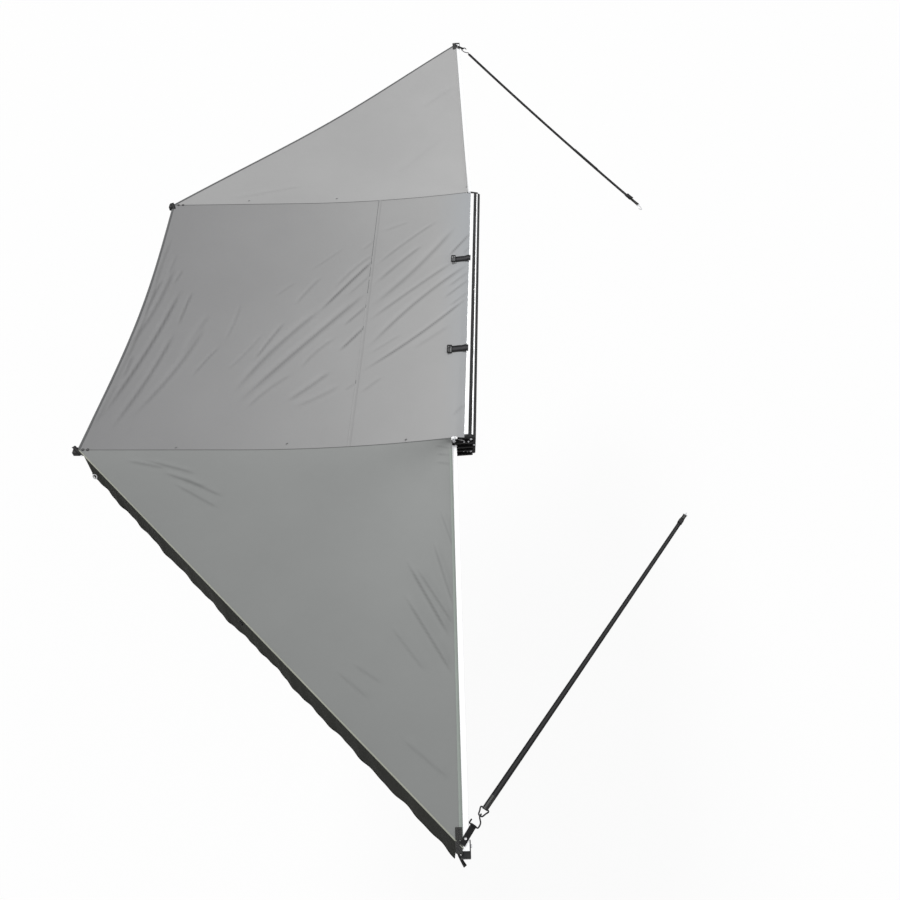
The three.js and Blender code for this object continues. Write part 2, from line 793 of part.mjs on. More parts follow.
// Height of the panel's facets under a point, for what lies on the cloth
function clothHeight(x, y) {
  const s = (mainEdgeY(folds.front, x) - y) / (mainEdgeY(folds.front, x) - mainEdgeY(folds.rear, x));
  const t = (clothEdgeX - x) / (clothEdgeX - mainOuterX(s));
  const column = Math.floor(s * panelCells);
  const row = Math.floor(Math.max(0, t) * panelCells);
  const right = s * panelCells - column;
  const up = t * panelCells - row;
  const z = (i, j) => mainPoint((column + i) / panelCells, (row + j) / panelCells).z;
  return right > up
    ? z(0, 0) + (z(1, 0) - z(0, 0)) * right + (z(1, 1) - z(1, 0)) * up
    : z(0, 0) + (z(1, 1) - z(0, 1)) * right + (z(0, 1) - z(0, 0)) * up;
}

const down = () => new THREE.Vector3(0, 0, -clothThickness);
addPart(awning, 'canopy_main_panel', sheet(mainPoint, panelCells, panelCells, down), midCloth);

// The two three-cornered panels between a corner arm and its wing arm
const frontPanel = {
  fold: folds.front,
  corner: armNamed('front_corner'),
  wing: armNamed('front_wing'),
  side: 1,
  sag: frontSag,
  edgeDraw: frontEdgeDraw,
  ridges: [
    { asideShare: 0.072, widthShare: 0.04, heightShare: 0.6, fromShare: 0.1, toShare: 0.75 },
    { asideShare: -0.077, widthShare: 0.045, heightShare: 0.47, fromShare: 0.2, toShare: 0.8 },
  ],
};
const rearPanel = {
  fold: folds.rear,
  corner: armNamed('rear_corner'),
  wing: armNamed('rear_wing'),
  side: -1,
  sag: rearSag,
  edgeDraw: rearEdgeDraw,
  ridges: [
    { asideShare: 0.054, widthShare: 0.04, heightShare: 0.67, fromShare: 0.05, toShare: 0.7 },
    { asideShare: -0.068, widthShare: 0.05, heightShare: 0.53, fromShare: 0.1, toShare: 0.8 },
    { asideShare: 0.172, widthShare: 0.054, heightShare: 0.47, fromShare: 0.3, toShare: 0.9 },
  ],
};
const ridgeAimShare = 0.45;
const cornerRimShare = 0.1;
const wingRimFromShare = 0.85;
const wingRimToShare = 0.97;
const tipLiftFromShare = 0.8;
const tipLiftToShare = 0.9;

function wingPanelPoint(panel, across, out) {
  const reach = lerp(apexReach, cornerReach, out);
  const cornerEdge = armLine(panel.corner, reach, -panel.side * seamGap / 2);
  const wingEdge = armLine(panel.wing, reach, panel.side * hemFromMiddle);
  const plan = cornerEdge.clone().lerp(wingEdge, across);
  const apex = armLine(panel.corner, 0);
  const pull = panel.edgeDraw * Math.sin(Math.PI * across) * out ** 2;
  plan.add(apex.clone().sub(plan).setLength(pull));
  const wingTop = levelOf(panel.wing.level) + armTop + clothThickness + seatGap;
  const wingZ = wingTop + apexRise * (1 - out) ** 6 + tipLift * smooth(out, tipLiftFromShare, tipLiftToShare);
  const cornerZ = foldHeight(panel.fold, cornerEdge.x);
  const loose = slackness(across, out, wingSlack.outShare, wingSlack.startShare);
  const start = armLine(panel.corner, cornerReach);
  const run = armLine(panel.wing, cornerReach * ridgeAimShare).sub(start);
  const rim = smooth(across, 0, cornerRimShare) * (1 - smooth(across, wingRimFromShare, wingRimToShare));
  const ridge = ridges(panel.ridges, start, run, plan);
  const z = lerp(cornerZ, wingZ, across) - panel.sag * loose + ridge * rim * out;
  return new THREE.Vector3(plan.x, plan.y, z);
}

for (const [name, panel, look] of [
  ['canopy_front_panel', frontPanel, lightCloth],
  ['canopy_rear_panel', rearPanel, darkCloth],
]) {
  const point = (across, out) => wingPanelPoint(panel, across, out);
  addPart(awning, name, sheet(point, wingPanelCells, wingPanelCells, down), look);
}

// Valance hanging from the rear panel's outer edge, deepest at the wing arm

const rearEdgeLength = cornerReach * Math.SQRT2;
const tangentStepShare = 0.01;

function valanceEdge(share) {
  const from = valanceCornerInset / rearEdgeLength;
  const to = 1 - valanceWingInset / rearEdgeLength;
  return wingPanelPoint(rearPanel, lerp(from, to, share), 1);
}

function valanceOutward(share) {
  const before = valanceEdge(Math.max(0, share - tangentStepShare));
  const run = valanceEdge(Math.min(1, share + tangentStepShare)).sub(before);
  return new THREE.Vector3(run.y, -run.x, 0).normalize();
}

function valanceDropAt(share) {
  const place = share * (valanceDropShares.length - 1);
  const index = Math.min(Math.floor(place), valanceDropShares.length - 2);
  const blend = smooth(place - index, 0, 1);
  return valanceDrop * lerp(valanceDropShares[index], valanceDropShares[index + 1], blend);
}

function valancePoint(share, drop) {
  const wave = valanceWave * drop * Math.sin(2 * Math.PI * valanceWaves * share) * Math.sin(Math.PI * share);
  const point = valanceEdge(share).addScaledVector(valanceOutward(share), seatGap + clothThickness + wave);
  point.z -= valanceDropAt(share) * drop;
  return point;
}

const valanceThickness = (share) => valanceOutward(share).multiplyScalar(-clothThickness);

addPart(awning, 'rear_valance', sheet(valancePoint, ...valanceCells, valanceThickness), blackCloth);

// Hold-down straps: webbing on the canopy beside the rail, with a buckle frame at the free end

const holdDownSurface = (x, y) => (x > clothEdgeX ? clothEdgeZ : clothHeight(x, y));

const railTopZ = channelTop + seatGap + canopyRailHeight;

function holdDownPoint(y, across, along) {
  const startX = canopyRailX - canopyRailWidth / 2 + holdDownTuck;
  const x = startX - holdDownLength * along;
  const py = y + holdDownWidth * (across - 0.5);
  const settle = smooth(startX - x, holdDownFallFrom, holdDownFallTo);
  const bed = holdDownSurface(x, py) + clothLift + holdDownThickness;
  const z = Math.max(bed, lerp(railTopZ + seatGap + holdDownThickness, bed, settle));
  return new THREE.Vector3(x, py, z);
}

const holdDownFall = () => new THREE.Vector3(0, 0, -holdDownThickness);
const holdDownEndX = canopyRailX - canopyRailWidth / 2 + holdDownTuck - holdDownLength;

function buckleFrame() {
  const half = buckleWidth / 2;
  const frame = alongZ(roundedRectangle(-buckleLength, -half, 0, half, buckleBar / 2), 0, buckleHeight, 3);
  const innerHalf = holdDownWidth / 2;
  const slotEnd = -buckleLength + buckleBar;
  const middle = -buckleLength / 2;
  return cutFrom(
    frame,
    box(slotEnd, middle - buckleBar / 4, -innerHalf, innerHalf, -overrun, buckleHeight + overrun),
    box(middle + buckleBar / 4, -buckleBar / 2, -innerHalf, innerHalf, -overrun, buckleHeight + overrun),
  );
}

holdDownYs.forEach((y, i) => {
  const place = i ? 'rear' : 'front';
  addPart(awning, `${place}_hold_down_strap`,
    sheet((a, l) => holdDownPoint(y, a, l), ...holdDownCells, holdDownFall), webbing);
  const buckle = addPart(awning, `${place}_hold_down_buckle`, buckleFrame(), blackPlastic);
  const bedZ = Math.max(...[0, 0.5, 1].flatMap((a) => [0, 1].map((l) => holdDownSurface(
    holdDownEndX - buckleLength * l, y + buckleWidth * (a - 0.5)))));
  buckle.position.set(holdDownEndX - seatGap, y, bedZ + seatGap);
});

// Guy straps: webbing from a hook at each wing arm's tip to a hook at the far end

function webbingSection() {
  const half = webbingWidth / 2;
  const thin = webbingThickness / 2;
  const shape = new THREE.Shape();
  const corners = [
    [-thin, -half + webbingEdge], [-thin + webbingEdge, -half], [thin - webbingEdge, -half],
    [thin, -half + webbingEdge], [thin, half - webbingEdge], [thin - webbingEdge, half],
    [-thin + webbingEdge, half], [-thin, half - webbingEdge],
  ];
  corners.forEach(([x, y], i) => shape[i ? 'lineTo' : 'moveTo'](x, y));
  shape.closePath();
  return shape;
}

const spot = (point) => new THREE.Vector3(...point);

// A taut strap's route: straight in plan, with a little sag
function strapRoute(start, end, sag) {
  return Array.from({ length: routeSpans + 1 }, (_, i) => {
    const share = i / routeSpans;
    const point = start.clone().lerp(end, share);
    point.z -= 4 * sag * share * (1 - share);
    return point;
  });
}

function strapAlong(route) {
  const path = new THREE.CatmullRomCurve3(route, false, 'centripetal');
  const settings = { steps: strapSteps, extrudePath: path, bevelEnabled: false };
  return new THREE.ExtrudeGeometry(webbingSection(), settings);
}

// A frame whose X runs from one point towards another, with Y level
function frameTowards(from, to) {
  const x = to.clone().sub(from).normalize();
  const y = new THREE.Vector3(0, 0, 1).cross(x).normalize();
  const z = x.clone().cross(y);
  return new THREE.Matrix4().makeBasis(x, y, z).setPosition(from);
}

function addAt(name, geometry, look, matrix) {
  const mesh = addPart(awning, name, geometry, look);
  matrix.decompose(mesh.position, mesh.quaternion, mesh.scale);
}

// The sleeve lies on the canopy beside the arm, the tab crosses the arm and ends in a sewn loop
const loopBed = armTop + clothThickness + seatGap + tipLift + seatGap;
const loopZ = loopBed + webbingThickness / 2;

const loopX = armReach - loopSetback;

function cornerLoop(turn, side) {
  const sleeveEnd = armReach - sleeveSetback;
  const sleeveStart = sleeveEnd - sleeveLength;
  const sleeve = new THREE.Shape();
  sleeve.moveTo(sleeveStart, -side * sleeveInner);
  sleeve.lineTo(sleeveEnd, -side * sleeveInner);
  sleeve.lineTo(sleeveEnd - sleeveWidth, -side * (sleeveInner + sleeveWidth));
  sleeve.lineTo(sleeveStart, -side * (sleeveInner + sleeveWidth));
  sleeve.closePath();
  const half = webbingWidth / 2;
  const thin = webbingThickness / 2;
  const strip = alongY(rectangle(-loopTail, -thin, loopReach, thin), -half, half);
  const eye = alongY(disc(loopRound, loopReach, 0), -half, half, 5);
  const tab = cutFrom(
    joined(strip, eye),
    alongY(disc(wireRadius + seatGap, loopReach, 0), -webbingWidth, webbingWidth, 6),
    alongZ(disc(grommetBore), -webbingWidth, webbingWidth, 4),
  );
  return joined(
    alongZ(sleeve, loopBed, loopBed + webbingThickness),
    tab.rotateZ(turn).translate(loopX, 0, loopZ),
  );
}

// A wire hook in the XY plane: a bend through the loop with a short tail, and a crook over what it holds
const crookRound = wireRadius * 2 + seatGap + hookSlack;

function wireHook(crookX) {
  const side = webbingWidth / 2 + wireRadius / 2;
  const out = side + hookCorner;
  const points = [
    [hookTail, out, 0],
    [hookCorner, out, 0],
    [hookCorner * 0.27, side + hookCorner * 0.73, 0],
    [0, side, 0],
    [0, side * 0.6, 0],
    [0, 0, 0],
    [0, -side * 0.6, 0],
    [0, -side, 0],
    [hookCorner * 0.27, -side - hookCorner * 0.73, 0],
    [hookCorner, -out, 0],
    [crookX * 0.5, -out * 0.85, 0],
    [crookX - crookRound * 1.9, -out * 0.2, 0],
    [crookX - crookRound, 0, crookRound * 0.3],
    [crookX - crookRound * 0.7, 0, crookRound * 0.75],
    [crookX, 0, crookRound],
    [crookX + crookRound * 0.7, 0, crookRound * 0.75],
    [crookX + crookRound, 0, 0],
    [crookX + crookRound * 0.85, 0, -crookRound * 0.6],
  ];
  return wireAlong(points.map(spot), wireRadius, sHookSteps, wireSides);
}

// A three-cornered wire ring lying along X, its narrow end at the origin
function wireRing() {
  const half = ringWidth / 2;
  const nose = ringNose / 2;
  const outline = [
    [0, 0], [0, -nose], [ringLength * 0.5, -half * 0.75], [ringLength * 0.9, -half],
    [ringLength, -half * 0.75], [ringLength, -half * 0.35], [ringLength, half * 0.35],
    [ringLength, half * 0.75],
    [ringLength * 0.9, half], [ringLength * 0.5, half * 0.75], [0, nose],
  ].map(([x, y]) => new THREE.Vector3(x, y, 0));
  const path = new THREE.CatmullRomCurve3(outline, true, 'centripetal');
  const points = path.getSpacedPoints(ringSteps).slice(0, ringSteps);
  const section = Array.from({ length: wireSides }, (_, k) => (2 * Math.PI * k) / wireSides);
  const rings = points.map((point, i) => {
    const run = points[(i + 1) % ringSteps].clone().sub(points[(i + ringSteps - 1) % ringSteps]).normalize();
    return section.map((turn) => point.clone().add(new THREE.Vector3(
      -run.y * wireRadius * Math.cos(turn), run.x * wireRadius * Math.cos(turn), wireRadius * Math.sin(turn))));
  });
  const faces = [];
  for (let i = 0; i < ringSteps; i += 1) {
    for (let k = 0; k < wireSides; k += 1) {
      const [here, next] = [i * wireSides, ((i + 1) % ringSteps) * wireSides];
      const up = (k + 1) % wireSides;
      faces.push(here + k, here + up, next + up, here + k, next + up, next + k);
    }
  }
  const geometry = new THREE.BufferGeometry();
  geometry.setAttribute('position',
    new THREE.Float32BufferAttribute(rings.flat().flatMap((p) => p.toArray()), 3));
  geometry.setIndex(faces);
  geometry.computeVertexNormals();
  return geometry;
}

// A hook along X with a flat eye for the webbing and an open bend
function endHook() {
  const points = [
    [endHookEye, 0], [endHookEye * 1.5, 0], [endHookLength * 0.7, 0],
    [endHookLength, -endHookOpening * 0.2],
    [endHookLength + endHookOpening * 0.35, -endHookOpening * 0.5],
    [endHookLength, -endHookOpening * 0.85],
    [endHookLength * 0.75, -endHookOpening],
    [endHookLength * 0.62, -endHookOpening * 0.9],
  ].map(([x, z]) => new THREE.Vector3(x, 0, z));
  const bend = wireAlong(points, wireRadius, endHookSteps, wireSides);
  const half = webbingWidth / 2;
  const outline = roundedRectangle(
    0, -half - wireRadius, endHookEye + wireRadius, half + wireRadius, wireRadius * 2);
  const slot = box(
    wireRadius * 2, endHookEye - wireRadius, -half, half, -wireRadius - overrun, wireRadius + overrun);
  return joined(cutFrom(alongZ(outline, -wireRadius, wireRadius, 3), slot), bend);
}

const guys = [
  {
    name: 'front',
    arm: armNamed('front_wing'),
    side: -1,
    span: frontHookSpan,
    farEnd: spot(frontStrapEnd),
    sag: frontStrapSag,
    ring: false,
  },
  {
    name: 'rear',
    arm: armNamed('rear_wing'),
    side: 1,
    span: rearHookSpan,
    farEnd: spot(rearStrapEnd),
    sag: rearStrapSag,
    ring: true,
  },
];

for (const guy of guys) {
  const over = armLine(guy.arm, loopX);
  const heading = new THREE.Vector2(guy.farEnd.x, guy.farEnd.y).sub(over);
  const turn = heading.angle() - radians(guy.arm.angle);
  addPart(armGroups[guy.arm.name], `${guy.arm.name}_loop`, cornerLoop(turn, guy.side), webbing);
  const end = over.clone().add(heading.clone().setLength(loopReach));
  const eye = new THREE.Vector3(end.x, end.y, levelOf(guy.arm.level) + loopZ);
  const aim = guy.farEnd.clone().sub(eye);
  aim.z -= 4 * guy.sag;
  const start = eye.clone().add(aim.setLength(guy.span));
  const frame = frameTowards(eye, start);
  const reach = guy.span - wireRadius - (guy.ring ? webbingGap : seatGap);
  const crookX = guy.ring ? reach - ringLength : reach - crookRound;
  addAt(`${guy.name}_s_hook`, wireHook(crookX), blackWire, frame);
  if (guy.ring) {
    addAt(`${guy.name}_ring`, wireRing().translate(crookX, 0, 0), blackWire, frame);
  }
  const route = strapRoute(start, guy.farEnd, guy.sag);
  addPart(awning, `${guy.name}_guy_strap`, strapAlong(route), webbing);
  const [before, last] = route.slice(-2);
  const along = last.clone().sub(before).normalize();
  const farStart = last.clone().addScaledVector(along, webbingGap);
  addAt(`${guy.name}_end_hook`, endHook(), zincPlate, frameTowards(farStart, farStart.clone().add(along)));
}

export default awning;
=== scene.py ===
import math

import bpy
import numpy as np
from mathutils import Matrix, Vector


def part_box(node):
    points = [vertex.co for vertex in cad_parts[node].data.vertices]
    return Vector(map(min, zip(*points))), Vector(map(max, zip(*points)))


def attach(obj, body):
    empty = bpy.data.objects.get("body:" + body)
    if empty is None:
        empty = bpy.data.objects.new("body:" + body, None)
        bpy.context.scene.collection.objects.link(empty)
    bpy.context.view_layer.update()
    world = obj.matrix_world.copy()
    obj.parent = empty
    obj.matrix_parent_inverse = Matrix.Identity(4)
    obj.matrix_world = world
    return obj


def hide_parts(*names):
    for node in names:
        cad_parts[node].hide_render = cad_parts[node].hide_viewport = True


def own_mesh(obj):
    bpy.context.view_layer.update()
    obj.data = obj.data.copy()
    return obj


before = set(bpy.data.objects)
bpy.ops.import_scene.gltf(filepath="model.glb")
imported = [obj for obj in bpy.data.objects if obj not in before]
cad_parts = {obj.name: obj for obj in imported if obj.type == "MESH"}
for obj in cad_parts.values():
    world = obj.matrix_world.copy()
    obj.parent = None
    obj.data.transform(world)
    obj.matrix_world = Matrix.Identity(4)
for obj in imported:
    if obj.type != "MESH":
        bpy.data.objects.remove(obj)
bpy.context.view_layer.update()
print("frame loaded")

# Metres and degrees. +Y points to the front end, -X is outboard, +Z is up.

# Camera at the photograph's angle

camera = {
    "place": (-0.0472, -3.8663, 3.5855),
    "tilt": 37.889,
    "pan": 1.777,
    "lens": 34.686,
    "sensor": 36.0,
}


def makeCamera():
    data = bpy.data.cameras.new("camera")
    data.lens = camera["lens"]
    data.sensor_width = camera["sensor"]
    data.clip_end = 200
    eye = bpy.data.objects.new("camera", data)
    eye.location = camera["place"]
    eye.rotation_euler = (math.radians(camera["tilt"]), 0, math.radians(camera["pan"]))
    bpy.context.scene.collection.objects.link(eye)
    bpy.context.scene.camera = eye


makeCamera()
print("camera made")


# Helpers for meshes

smoothAngles = {"hard": 40, "woven": 50, "round": 60}


def setMode(mode):
    bpy.ops.object.mode_set(mode=mode)


def clearSelection():
    if bpy.context.object and bpy.context.object.mode != "OBJECT":
        setMode("OBJECT")
    bpy.ops.object.select_all(action="DESELECT")


def makeActive(piece):
    clearSelection()
    piece.select_set(True)
    bpy.context.view_layer.objects.active = piece


def applyModifier(piece, kind, **values):
    makeActive(piece)
    modifier = piece.modifiers.new(kind.lower(), kind)
    for key, value in values.items():
        setattr(modifier, key, value)
    bpy.ops.object.modifier_apply(modifier=modifier.name)


def bevel(piece, width, segments=3):
    applyModifier(piece, "BEVEL", width=width, segments=segments, limit_method="ANGLE")


def paint(piece, material):
    piece.data.materials.clear()
    piece.data.materials.append(material)
    return piece


def finished(piece, look, smooth="woven"):
    # smooth shading up to an angle, and one material
    makeActive(piece)
    bpy.ops.object.shade_smooth_by_angle(angle=math.radians(smoothAngles[smooth]))
    return paint(piece, materials[look])


def settle(piece, matrix=None):
    # the place goes into the mesh, the object stays at the origin
    bpy.context.view_layer.update()
    whole = (matrix or Matrix.Identity(4)) @ piece.matrix_world
    piece.data.transform(whole)
    if whole.determinant() < 0:
        piece.data.flip_normals()
    piece.matrix_world = Matrix.Identity(4)
    return piece


def moved(x, y, z):
    return Matrix.Translation((x, y, z))


def turned(degrees, axis):
    return Matrix.Rotation(math.radians(degrees), 4, axis)


def framed(place, x, y, z):
    matrix = Matrix((x, y, z)).transposed().to_4x4()
    matrix.translation = place
    return matrix


def normalsOut(piece):
    makeActive(piece)
    setMode("EDIT")
    bpy.ops.mesh.select_all(action="SELECT")
    bpy.ops.mesh.normals_make_consistent(inside=False)
    setMode("OBJECT")


def extrudeUp(piece, high):
    # the whole flat piece pulled up into a solid
    makeActive(piece)
    setMode("EDIT")
    bpy.ops.mesh.select_all(action="SELECT")
    bpy.ops.mesh.extrude_region_move(TRANSFORM_OT_translate={"value": (0, 0, high)})
    normalsOut(piece)


def insetFaces(piece, chosen, thickness, shift):
    # the chosen faces inset, and the inner part moved up or down
    for face in piece.data.polygons:
        face.select = chosen(face)
    setMode("EDIT")
    bpy.ops.mesh.select_mode(type="FACE")
    bpy.ops.mesh.inset(thickness=thickness)
    bpy.ops.transform.translate(value=(0, 0, shift))
    setMode("OBJECT")


def cutPlate(name, columns, rows, bed, high, edge, isHole):
    # a grid stretched to the given lines, its holes deleted, pulled up and bevelled
    across, along = len(columns) - 1, len(rows) - 1
    clearSelection()
    bpy.ops.mesh.primitive_grid_add(x_subdivisions=across, y_subdivisions=along, size=1)
    plate = bpy.context.object
    plate.name = name
    for vertex in plate.data.vertices:
        column, row = (vertex.co.x + 0.5) * across, (vertex.co.y + 0.5) * along
        vertex.co = (columns[int(column + 0.5)], rows[int(row + 0.5)], bed)
    setMode("EDIT")
    bpy.ops.mesh.select_mode(type="FACE")
    bpy.ops.mesh.select_all(action="DESELECT")
    setMode("OBJECT")
    for face in plate.data.polygons:
        face.select = isHole(face.center)
    setMode("EDIT")
    bpy.ops.mesh.delete(type="FACE")
    setMode("OBJECT")
    extrudeUp(plate, high)
    bevel(plate, edge)
    return plate


def slab(size, place=(0, 0, 0), edge=0.0007):
    clearSelection()
    bpy.ops.mesh.primitive_cube_add(size=1, location=place, scale=size)
    bpy.ops.object.transform_apply(location=True, rotation=True, scale=True)
    part = bpy.context.object
    bevel(part, edge)
    return part


def joined(parts, name):
    makeActive(parts[0])
    for part in parts[1:]:
        part.select_set(True)
    bpy.ops.object.join()
    parts[0].name = name
    return parts[0]


def torus(name, inner, outer, scale, segments):
    clearSelection()
    bpy.ops.mesh.primitive_torus_add(major_radius=(inner + outer) / 2, minor_radius=(outer - inner) / 2,
                                     major_segments=segments[0], minor_segments=segments[1])
    piece = bpy.context.object
    piece.name = name
    piece.scale = scale
    bpy.ops.object.transform_apply(location=False, rotation=False, scale=True)
    return piece


def meshFrom(name, points, faces, uvs=None):
    mesh = bpy.data.meshes.new(name)
    mesh.from_pydata([tuple(p) for p in points], [], faces)
    if uvs is not None:
        layer = mesh.uv_layers.new(name="cloth")
        corners = np.empty(len(mesh.loops), dtype=np.int32)
        mesh.loops.foreach_get("vertex_index", corners)
        layer.data.foreach_set("uv", np.asarray(uvs, dtype=np.float32)[corners].ravel())
    mesh.update()
    piece = bpy.data.objects.new(name, mesh)
    bpy.context.scene.collection.objects.link(piece)
    return piece


def smoothstep(value, low, high):
    share = np.clip((np.asarray(value, dtype=float) - low) / (high - low), 0, 1)
    return share * share * (3 - 2 * share)


def mixed(a, b, share):
    return a + (b - a) * share


def smoothRoute(points, steps):
    # centripetal Catmull-Rom through the points, as the solid's route is
    points = [Vector(p) for p in points]
    points = [points[0] * 2 - points[1], *points, points[-1] * 2 - points[-2]]
    spans = len(points) - 3
    found = []
    for i in range(steps + 1):
        place = min(i / steps * spans, spans - 1e-9)
        k = int(place)
        a, b, c, d = points[k:k + 4]
        t0, t1 = 0.0, max((b - a).length ** 0.5, 1e-6)
        t2 = t1 + max((c - b).length ** 0.5, 1e-6)
        t3 = t2 + max((d - c).length ** 0.5, 1e-6)
        t = t1 + (t2 - t1) * (place - k)
        a1 = a.lerp(b, (t - t0) / (t1 - t0))
        a2 = b.lerp(c, (t - t1) / (t2 - t1))
        a3 = c.lerp(d, (t - t2) / (t3 - t2))
        b1 = a1.lerp(a2, (t - t0) / (t2 - t0))
        b2 = a2.lerp(a3, (t - t1) / (t3 - t1))
        found.append(b1.lerp(b2, (t - t1) / (t2 - t1)))
    return found


def sweep(name, path, section, side=None, closed=False, wide=None):
    # a tube along a path; section points are (across, up), and wide gives a width share at each step
    count, sides = len(path), len(section)
    runs = []
    for i in range(count):
        before = path[(i - 1) % count] if closed or i else path[0]
        after = path[(i + 1) % count] if closed or i < count - 1 else path[-1]
        runs.append((after - before).normalized())
    across = Vector(side) if side is not None else Vector((0, 0, 1)).cross(runs[0])
    points, uvs = [], []
    walked = 0.0
    girth = [0.0]
    for a, b in zip(section, section[1:]):
        girth.append(girth[-1] + math.dist(a, b))
    for i, run in enumerate(runs):
        across = (across - run * across.dot(run)).normalized()
        up = run.cross(across)
        share = wide(i / (count - 1)) if wide else 1.0
        if i:
            walked += (path[i] - path[i - 1]).length
        for k, (x, z) in enumerate(section):
            points.append(path[i] + across * (x * share) + up * z)
            uvs.append((girth[k], walked))
    piece = meshFrom(name, points, ringFaces(count, sides, closed), uvs)
    normalsOut(piece)
    return piece


def ringFaces(count, sides, closed=False):
    # four-sided faces between rings of points, and a face over each open end
    faces = []
    for i in range(count if closed else count - 1):
        here, there = i * sides, ((i + 1) % count) * sides
        for k in range(sides):
            up = (k + 1) % sides
            faces.append((here + k, here + up, there + up, there + k))
    if not closed:
        faces.append(tuple(reversed(range(sides))))
        faces.append(tuple((count - 1) * sides + k for k in range(sides)))
    return faces


def sweptPiece(name, path, section, look, side=None, wide=None):
    return finished(sweep(name, path, section, side, False, wide), look)


def pathLength(path):
    return sum((b - a).length for a, b in zip(path, path[1:]))


def roundSection(radius, sides=12):
    return [(radius * math.cos(2 * math.pi * k / sides), radius * math.sin(2 * math.pi * k / sides))
            for k in range(sides)]


# outlines as shares of the half width and half thickness
webHalf = [(1, 0), (0.96, 0.75), (0.85, 0.9), (0.4, 1), (0, 1), (-0.4, 1), (-0.85, 0.9), (-0.96, 0.75)]
outlines = {
    "web": webHalf + [(-x, -z) for x, z in webHalf],
    "flat": [(1, -1), (1, 0.4), (0.9, 1), (-0.9, 1), (-1, 0.4), (-1, -1)],
}


def stripSection(width, thickness, outline="web"):
    return [(width / 2 * x, thickness / 2 * z) for x, z in outlines[outline]]


# Materials

def linear(level):
    share = level / 255
    return share / 12.92 if share <= 0.04045 else ((share + 0.055) / 1.055) ** 2.4


def shade(red, green, blue):
    return (linear(red), linear(green), linear(blue), 1.0)


def feed(tree, node, sources):
    for socket, source in sources.items():
        tree.links.new(source, node.inputs[socket])


def addNode(tree, kind, sources=None, **values):
    # a node with its settings and socket values, and what feeds its sockets
    node = tree.nodes.new(kind)
    for key, value in values.items():
        if hasattr(node, key):
            setattr(node, key, value)
        else:
            node.inputs[key.replace("_", " ")].default_value = value
    feed(tree, node, sources or {})
    return node


def addMath(tree, operation, *sources):
    # a math node fed by sockets and numbers
    node = addNode(tree, "ShaderNodeMath", operation=operation)
    for k, source in enumerate(sources):
        if isinstance(source, (int, float)):
            node.inputs[k].default_value = source
        else:
            tree.links.new(source, node.inputs[k])
    return node.outputs[0]


def colorMix(tree, factor, first, second):
    # between two colours, each a socket or a fixed colour
    node = addNode(tree, "ShaderNodeMix", data_type="RGBA")
    for socket, source in (("Factor", factor), ("A", first), ("B", second)):
        if isinstance(source, bpy.types.NodeSocket):
            tree.links.new(source, node.inputs[socket])
        else:
            node.inputs[socket].default_value = source
    return node.outputs["Result"]


def newGroup(name, inputs, outputs):
    group = bpy.data.node_groups.new(name, "ShaderNodeTree")
    for label, kind, value in inputs:
        socket = group.interface.new_socket(label, in_out="INPUT", socket_type="NodeSocket" + kind)
        if value is not None:
            socket.default_value = value
    for label, kind in outputs:
        group.interface.new_socket(label, in_out="OUTPUT", socket_type="NodeSocket" + kind)
    return group, group.nodes.new("NodeGroupInput").outputs, group.nodes.new("NodeGroupOutput")


def cloudGroup():
    # soft patches between two colours, for fading, dust and handling marks
    group, given, end = newGroup("cloudyTone", [
        ("Vector", "Vector", None),
        ("Tone", "Color", (0.5, 0.5, 0.5, 1)),
        ("Patch", "Color", (0.4, 0.4, 0.4, 1)),
        ("Scale", "Float", 2.0),
        ("Amount", "Float", 0.5),
    ], [("Color", "Color"), ("Mask", "Float")])
    noise = addNode(group, "ShaderNodeTexNoise", {"Vector": given["Vector"], "Scale": given["Scale"]},
                    Detail=5.0, Roughness=0.6)
    ramp = addNode(group, "ShaderNodeMapRange", {"Value": noise.outputs["Fac"]}, From_Min=0.35, From_Max=0.7)
    mask = addMath(group, "MULTIPLY", ramp.outputs["Result"], given["Amount"])
    feed(group, end, {"Color": colorMix(group, mask, given["Tone"], given["Patch"]), "Mask": mask})
    return group


def weaveGroup():
    # two crossed sets of threads
    group, given, end = newGroup("plainWeave", [
        ("Vector", "Vector", None),
        ("Threads", "Float", 900.0),
        ("Across", "Float", 1.0),
    ], [("Height", "Float")])
    split = addNode(group, "ShaderNodeSeparateXYZ", {0: given["Vector"]}).outputs
    waves = [addMath(group, "SINE", addMath(group, "MULTIPLY", split[axis], given["Threads"]))
             for axis in ("X", "Y")]
    crossed = addMath(group, "MULTIPLY", *waves)
    feed(group, end, {"Height": addMath(group, "MULTIPLY", crossed, given["Across"])})
    return group


def chain(group, steps, source):
    # math nodes one after another: (operation, second value)
    for operation, *value in steps:
        source = addMath(group, operation, source, *value)
    return source


def acrossShare(group, given):
    # 0 at a strap's edges and 1 at its middle, from the girth coordinate
    split = addNode(group, "ShaderNodeSeparateXYZ", {0: given["Vector"]}).outputs
    ratio = addMath(group, "DIVIDE", split["X"], given["Period"])
    return chain(group, [("MULTIPLY", math.pi), ("SINE",), ("ABSOLUTE",)], ratio), split


def bandGroup():
    # the lighter middle of a woven strap
    group, given, end = newGroup("middleBand", [
        ("Vector", "Vector", None),
        ("Period", "Float", 0.025),
    ], [("Mask", "Float")])
    share, split = acrossShare(group, given)
    ramp = addNode(group, "ShaderNodeMapRange", {"Value": share}, From_Min=0.72, From_Max=0.95)
    feed(group, end, {"Mask": ramp.outputs["Result"]})
    return group


